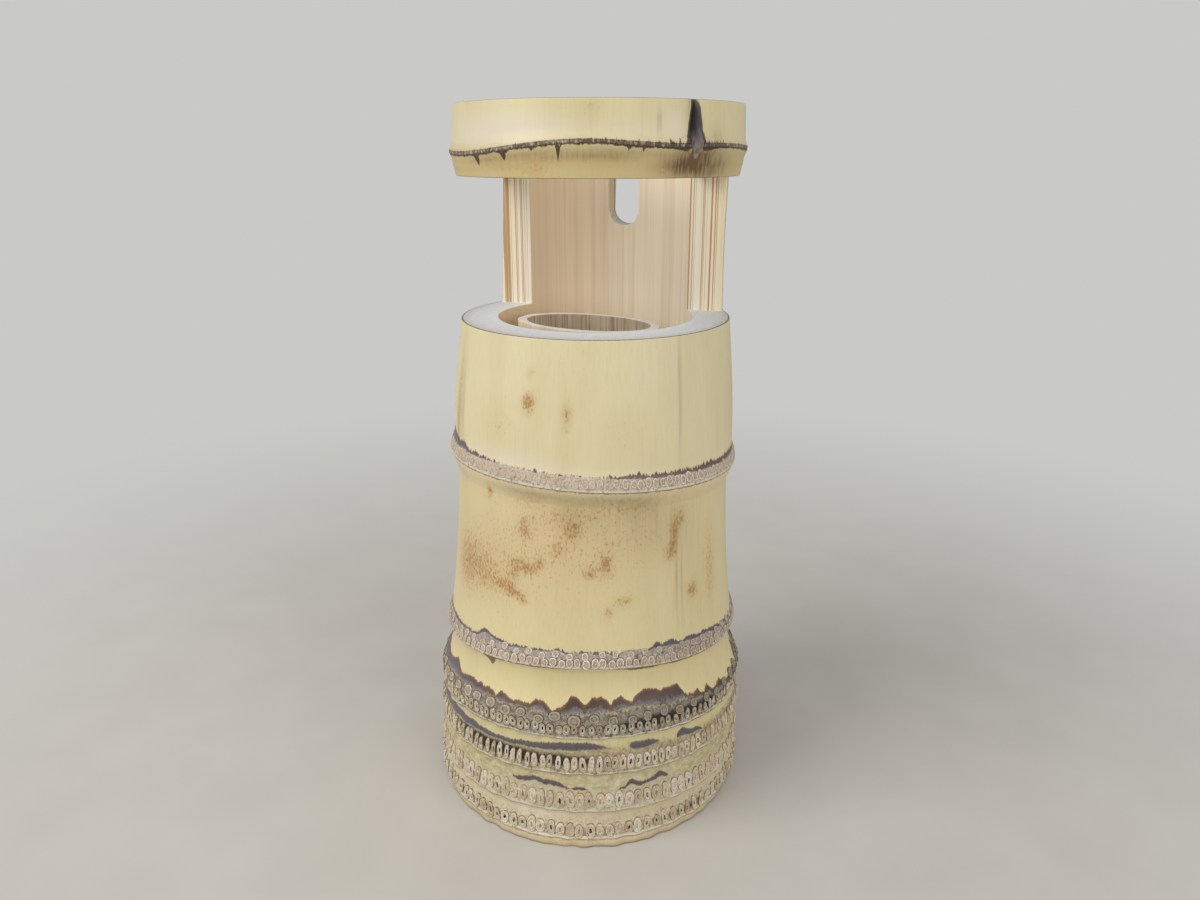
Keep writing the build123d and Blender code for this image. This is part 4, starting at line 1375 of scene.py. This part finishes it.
in_pit = add(tree, "Math", (in_hollow, pit), operation="MULTIPLY")
pitted = add(tree, "Mix", {FACTOR: in_pit, UNDER: open_rings, OVER: "#17110d"})
cell = add(tree, "ValToRGB", (ring_place,), ramp=[
    (0.0, "#cfbfab"), (0.5, "#c8b6a2"), (0.75, "#d0c0ac"), (1.0, "#b5a391")])
cell_lines = add(tree, "ValToRGB", (ring_place,), ramp=[
    (0.12, "#e6dccb"), (0.24, "#957f6b"), (0.4, "#c3b09a"), (0.62, "#b5a08a"), (0.74, "#f3ece0"),
    (0.86, "#ece4d6"), (0.93, "#6d5f56"), (1.0, "#40372f")])
lump = add(tree, "ValToRGB", (ring_place,), ramp=[
    (0.0, "#8d8172"), (0.3, "#a89c8a"), (0.44, "#7b7063"), (0.6, "#9d9180"), (0.8, "#b0a594"),
    (0.9, "#6b6053"), (1.0, "#352d25")])
celled = add(tree, "Mix", {FACTOR: outlined, UNDER: cell, OVER: cell_lines})
lumpy = add(tree, "Mix", {FACTOR: pale, UNDER: lump, OVER: celled})
ringed = add(tree, "Mix", {FACTOR: healed, UNDER: pitted, OVER: lumpy})
tone_share = add(tree, "MapRange", (healed, 0.0, 1.0, 1.0, 0.3))
tones = add(tree, "ValToRGB", (tone,), ramp=[(0.0, "#e2d6c8"), (0.5, "#f6f1e8"), (1.0, "#ffffff")])
toned = add(tree, "Mix", {FACTOR: tone_share, UNDER: ringed, OVER: tones}, blend_type="MULTIPLY")
grit_tone = add(tree, "ValToRGB", (grit,), ramp=[(0.3, "#c0b6a8"), (0.46, "#f6f2ea"), (0.58, "#ffffff")])
gritty = add(tree, "Mix", {FACTOR: 1.0, UNDER: toned, OVER: grit_tone}, blend_type="MULTIPLY")
coat(tree, surface, gritty, grit, 0.15, 0.6)
for piece in scar_pieces:
    piece.data.materials.append(scar_material)

# %% [markdown]
# ## Bud scales
# The bud's dry scales are grey-brown below and nearly black at the tip. Where it lies in its groove, the left
# side of its upper half is darkened nearly to black as painted shade.

# %% Bud material
bud_material, tree, surface, place = new_material("bamboo_bud_dry_scales", 0.75, 1.45)
ring, side = [add(tree, "Attribute", attribute_name=name) for name in ("ring", "side")]
husk = add(tree, "ValToRGB", (ring,), ramp=[
    (0.0, "#b0a28f"), (0.12, "#8d8072"), (0.4, "#77706c"), (0.65, "#4a4244"), (1.0, "#241c1c")])
# Painted shade: the left side of the bud's upper half is darkened nearly to black.
at_left = add(tree, "MapRange", (side, 0.3, 0.7, 1.0, 0.0))
higher_up = add(tree, "MapRange", (ring, 0.25, 0.55))
shade_share = add(tree, "Math", (at_left, higher_up), operation="MULTIPLY")
shaded = add(tree, "Mix", {FACTOR: shade_share, UNDER: husk, OVER: "#17120f"})
hair = grain(tree, place, 0.5, 0.5, 3, 3)
coat(tree, surface, paint(tree, shaded, "#2b2320", hair, 0.45, 0.7, 0.6), hair, 0.2, 0.7)
bud.data.materials.append(bud_material)

# %% [markdown]
# ## Shaved bamboo
# The tube's outside was shaved with a knife and shows pale wood with brown fibre streaks. Inside, the soft
# wall has darker streaks from water, and the rim is clean sawn wood.

# %% Shaved bamboo
for name, roughness, light, streak_colour, low in (
    ("bamboo_knife_shaved", 0.6, "#e0d3b2", "#a8875a", 0.57),
    ("bamboo_inside_water_worn", 0.7, "#cab89c", "#6d543f", 0.52),
    ("bamboo_tube_rim_sawn", 0.75, "#e9e6dc", "#c0b49e", 0.6),
):
    material, tree, surface, place = new_material(name, roughness, 1.5)
    wood = paint(tree, light, streak_colour, grain(tree, place, 8, 8, 30, 2), 0.4, 0.7, 0.3)
    streaks = grain(tree, place, 0.8, 0.8, 60, 3, 0.6)
    coat(tree, surface, paint(tree, wood, streak_colour, streaks, low, low + 0.16, 0.85), streaks, 0.15, 0.6)
    tube.data.materials.append(material)
print([material.name for material in tube.data.materials])

# %% [markdown]
# ## Floor and light
# The vase stands on a plain pale floor. One large soft lamp at the upper left of the camera gives the form, a
# weaker one at the right fills the shade, and the sky is an even pale grey. Together they light a surface
# about as brightly as its colour is written, so nothing burns out. Away from the vase the floor turns into
# the backdrop's own colour where the camera looks at it, so that no edge or horizon shows, and its shadow
# stays.

# %% Floor
FLOOR_HALF = 6.0
BACKDROP = "#c9cac8"
floor_mesh = bpy.data.meshes.new("floor")
floor_mesh.from_pydata([(x * FLOOR_HALF, y * FLOOR_HALF, 0) for x, y in ((-1, -1), (1, -1), (1, 1), (-1, 1))],
                       [], [(0, 1, 2, 3)])
floor = bpy.data.objects.new("floor", floor_mesh)
bpy.context.scene.collection.objects.link(floor)
floor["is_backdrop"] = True
floor_material, tree, surface, place = new_material("floor_pale_matt", 0.9, 1.45)
lint = grain(tree, place, 40, 40, 40, 4)
pale_floor = add(tree, "ValToRGB", (lint,), ramp=[(0.3, "#c9c3b9"), (0.7, "#cfc9bf")])
tree.links.new(pale_floor, surface.inputs["Base Color"])
away = add(tree, "VectorMath", (place,), operation="LENGTH")
far_off = add(tree, "MapRange", (away, 0.12, 0.6), interpolation_type="SMOOTHSTEP")
seen = add(tree, "LightPath", out="Is Camera Ray")
looked_at = add(tree, "Math", (far_off, seen), operation="MULTIPLY")
plain = add(tree, "Emission", {"Color": BACKDROP, "Strength": 1.0})
faded = add(tree, "MixShader", (looked_at, surface.outputs[0], plain))
tree.links.new(faded, tree.nodes["Material Output"].inputs["Surface"])
floor_mesh.materials.append(floor_material)

# %% [markdown]
# The lamps are area lights that are aimed at the middle of the vase. The world gives the even sky, but the
# camera sees the backdrop's colour in its place.

# %% Light
LAMPS = {
    # name: place in metres, size in metres, watts
    "window_light": ((-0.85, -0.75, 0.90), 0.9, 11.0),
    "fill_light": ((0.95, -0.65, 0.55), 0.9, 5.0),
}
aim = Vector((0, 0, 0.13))
for name, (spot, size, watts) in LAMPS.items():
    lamp_data = bpy.data.lights.new(name, "AREA")
    lamp_data.size = size
    lamp_data.energy = watts
    lamp = bpy.data.objects.new(name, lamp_data)
    lamp.location = spot
    lamp.rotation_euler = (aim - Vector(spot)).to_track_quat("-Z", "Y").to_euler()
    bpy.context.scene.collection.objects.link(lamp)

sky = bpy.data.worlds.new("studio_sky")
bpy.context.scene.world = sky
sky.use_nodes = True
tree = sky.node_tree
background = tree.nodes["Background"]
background.inputs["Color"].default_value = linear("#e9edf2")
background.inputs["Strength"].default_value = 0.54
backdrop = add(tree, "Background", {"Color": BACKDROP, "Strength": 1.0})
seen = add(tree, "LightPath", out="Is Camera Ray")
mixed = add(tree, "MixShader", (seen, background.outputs[0], backdrop))
tree.links.new(mixed, tree.nodes["World Output"].inputs["Surface"])
bpy.context.scene.view_settings.view_transform = "Standard"

# %% [markdown]
# ## The size of the dressed vase
# The box round the dressed vase is printed in millimetres.

# %% Size of the dressed vase
low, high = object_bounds()
print("dressed box in mm:", [round(v / MM, 1) for v in (*low, *high)])
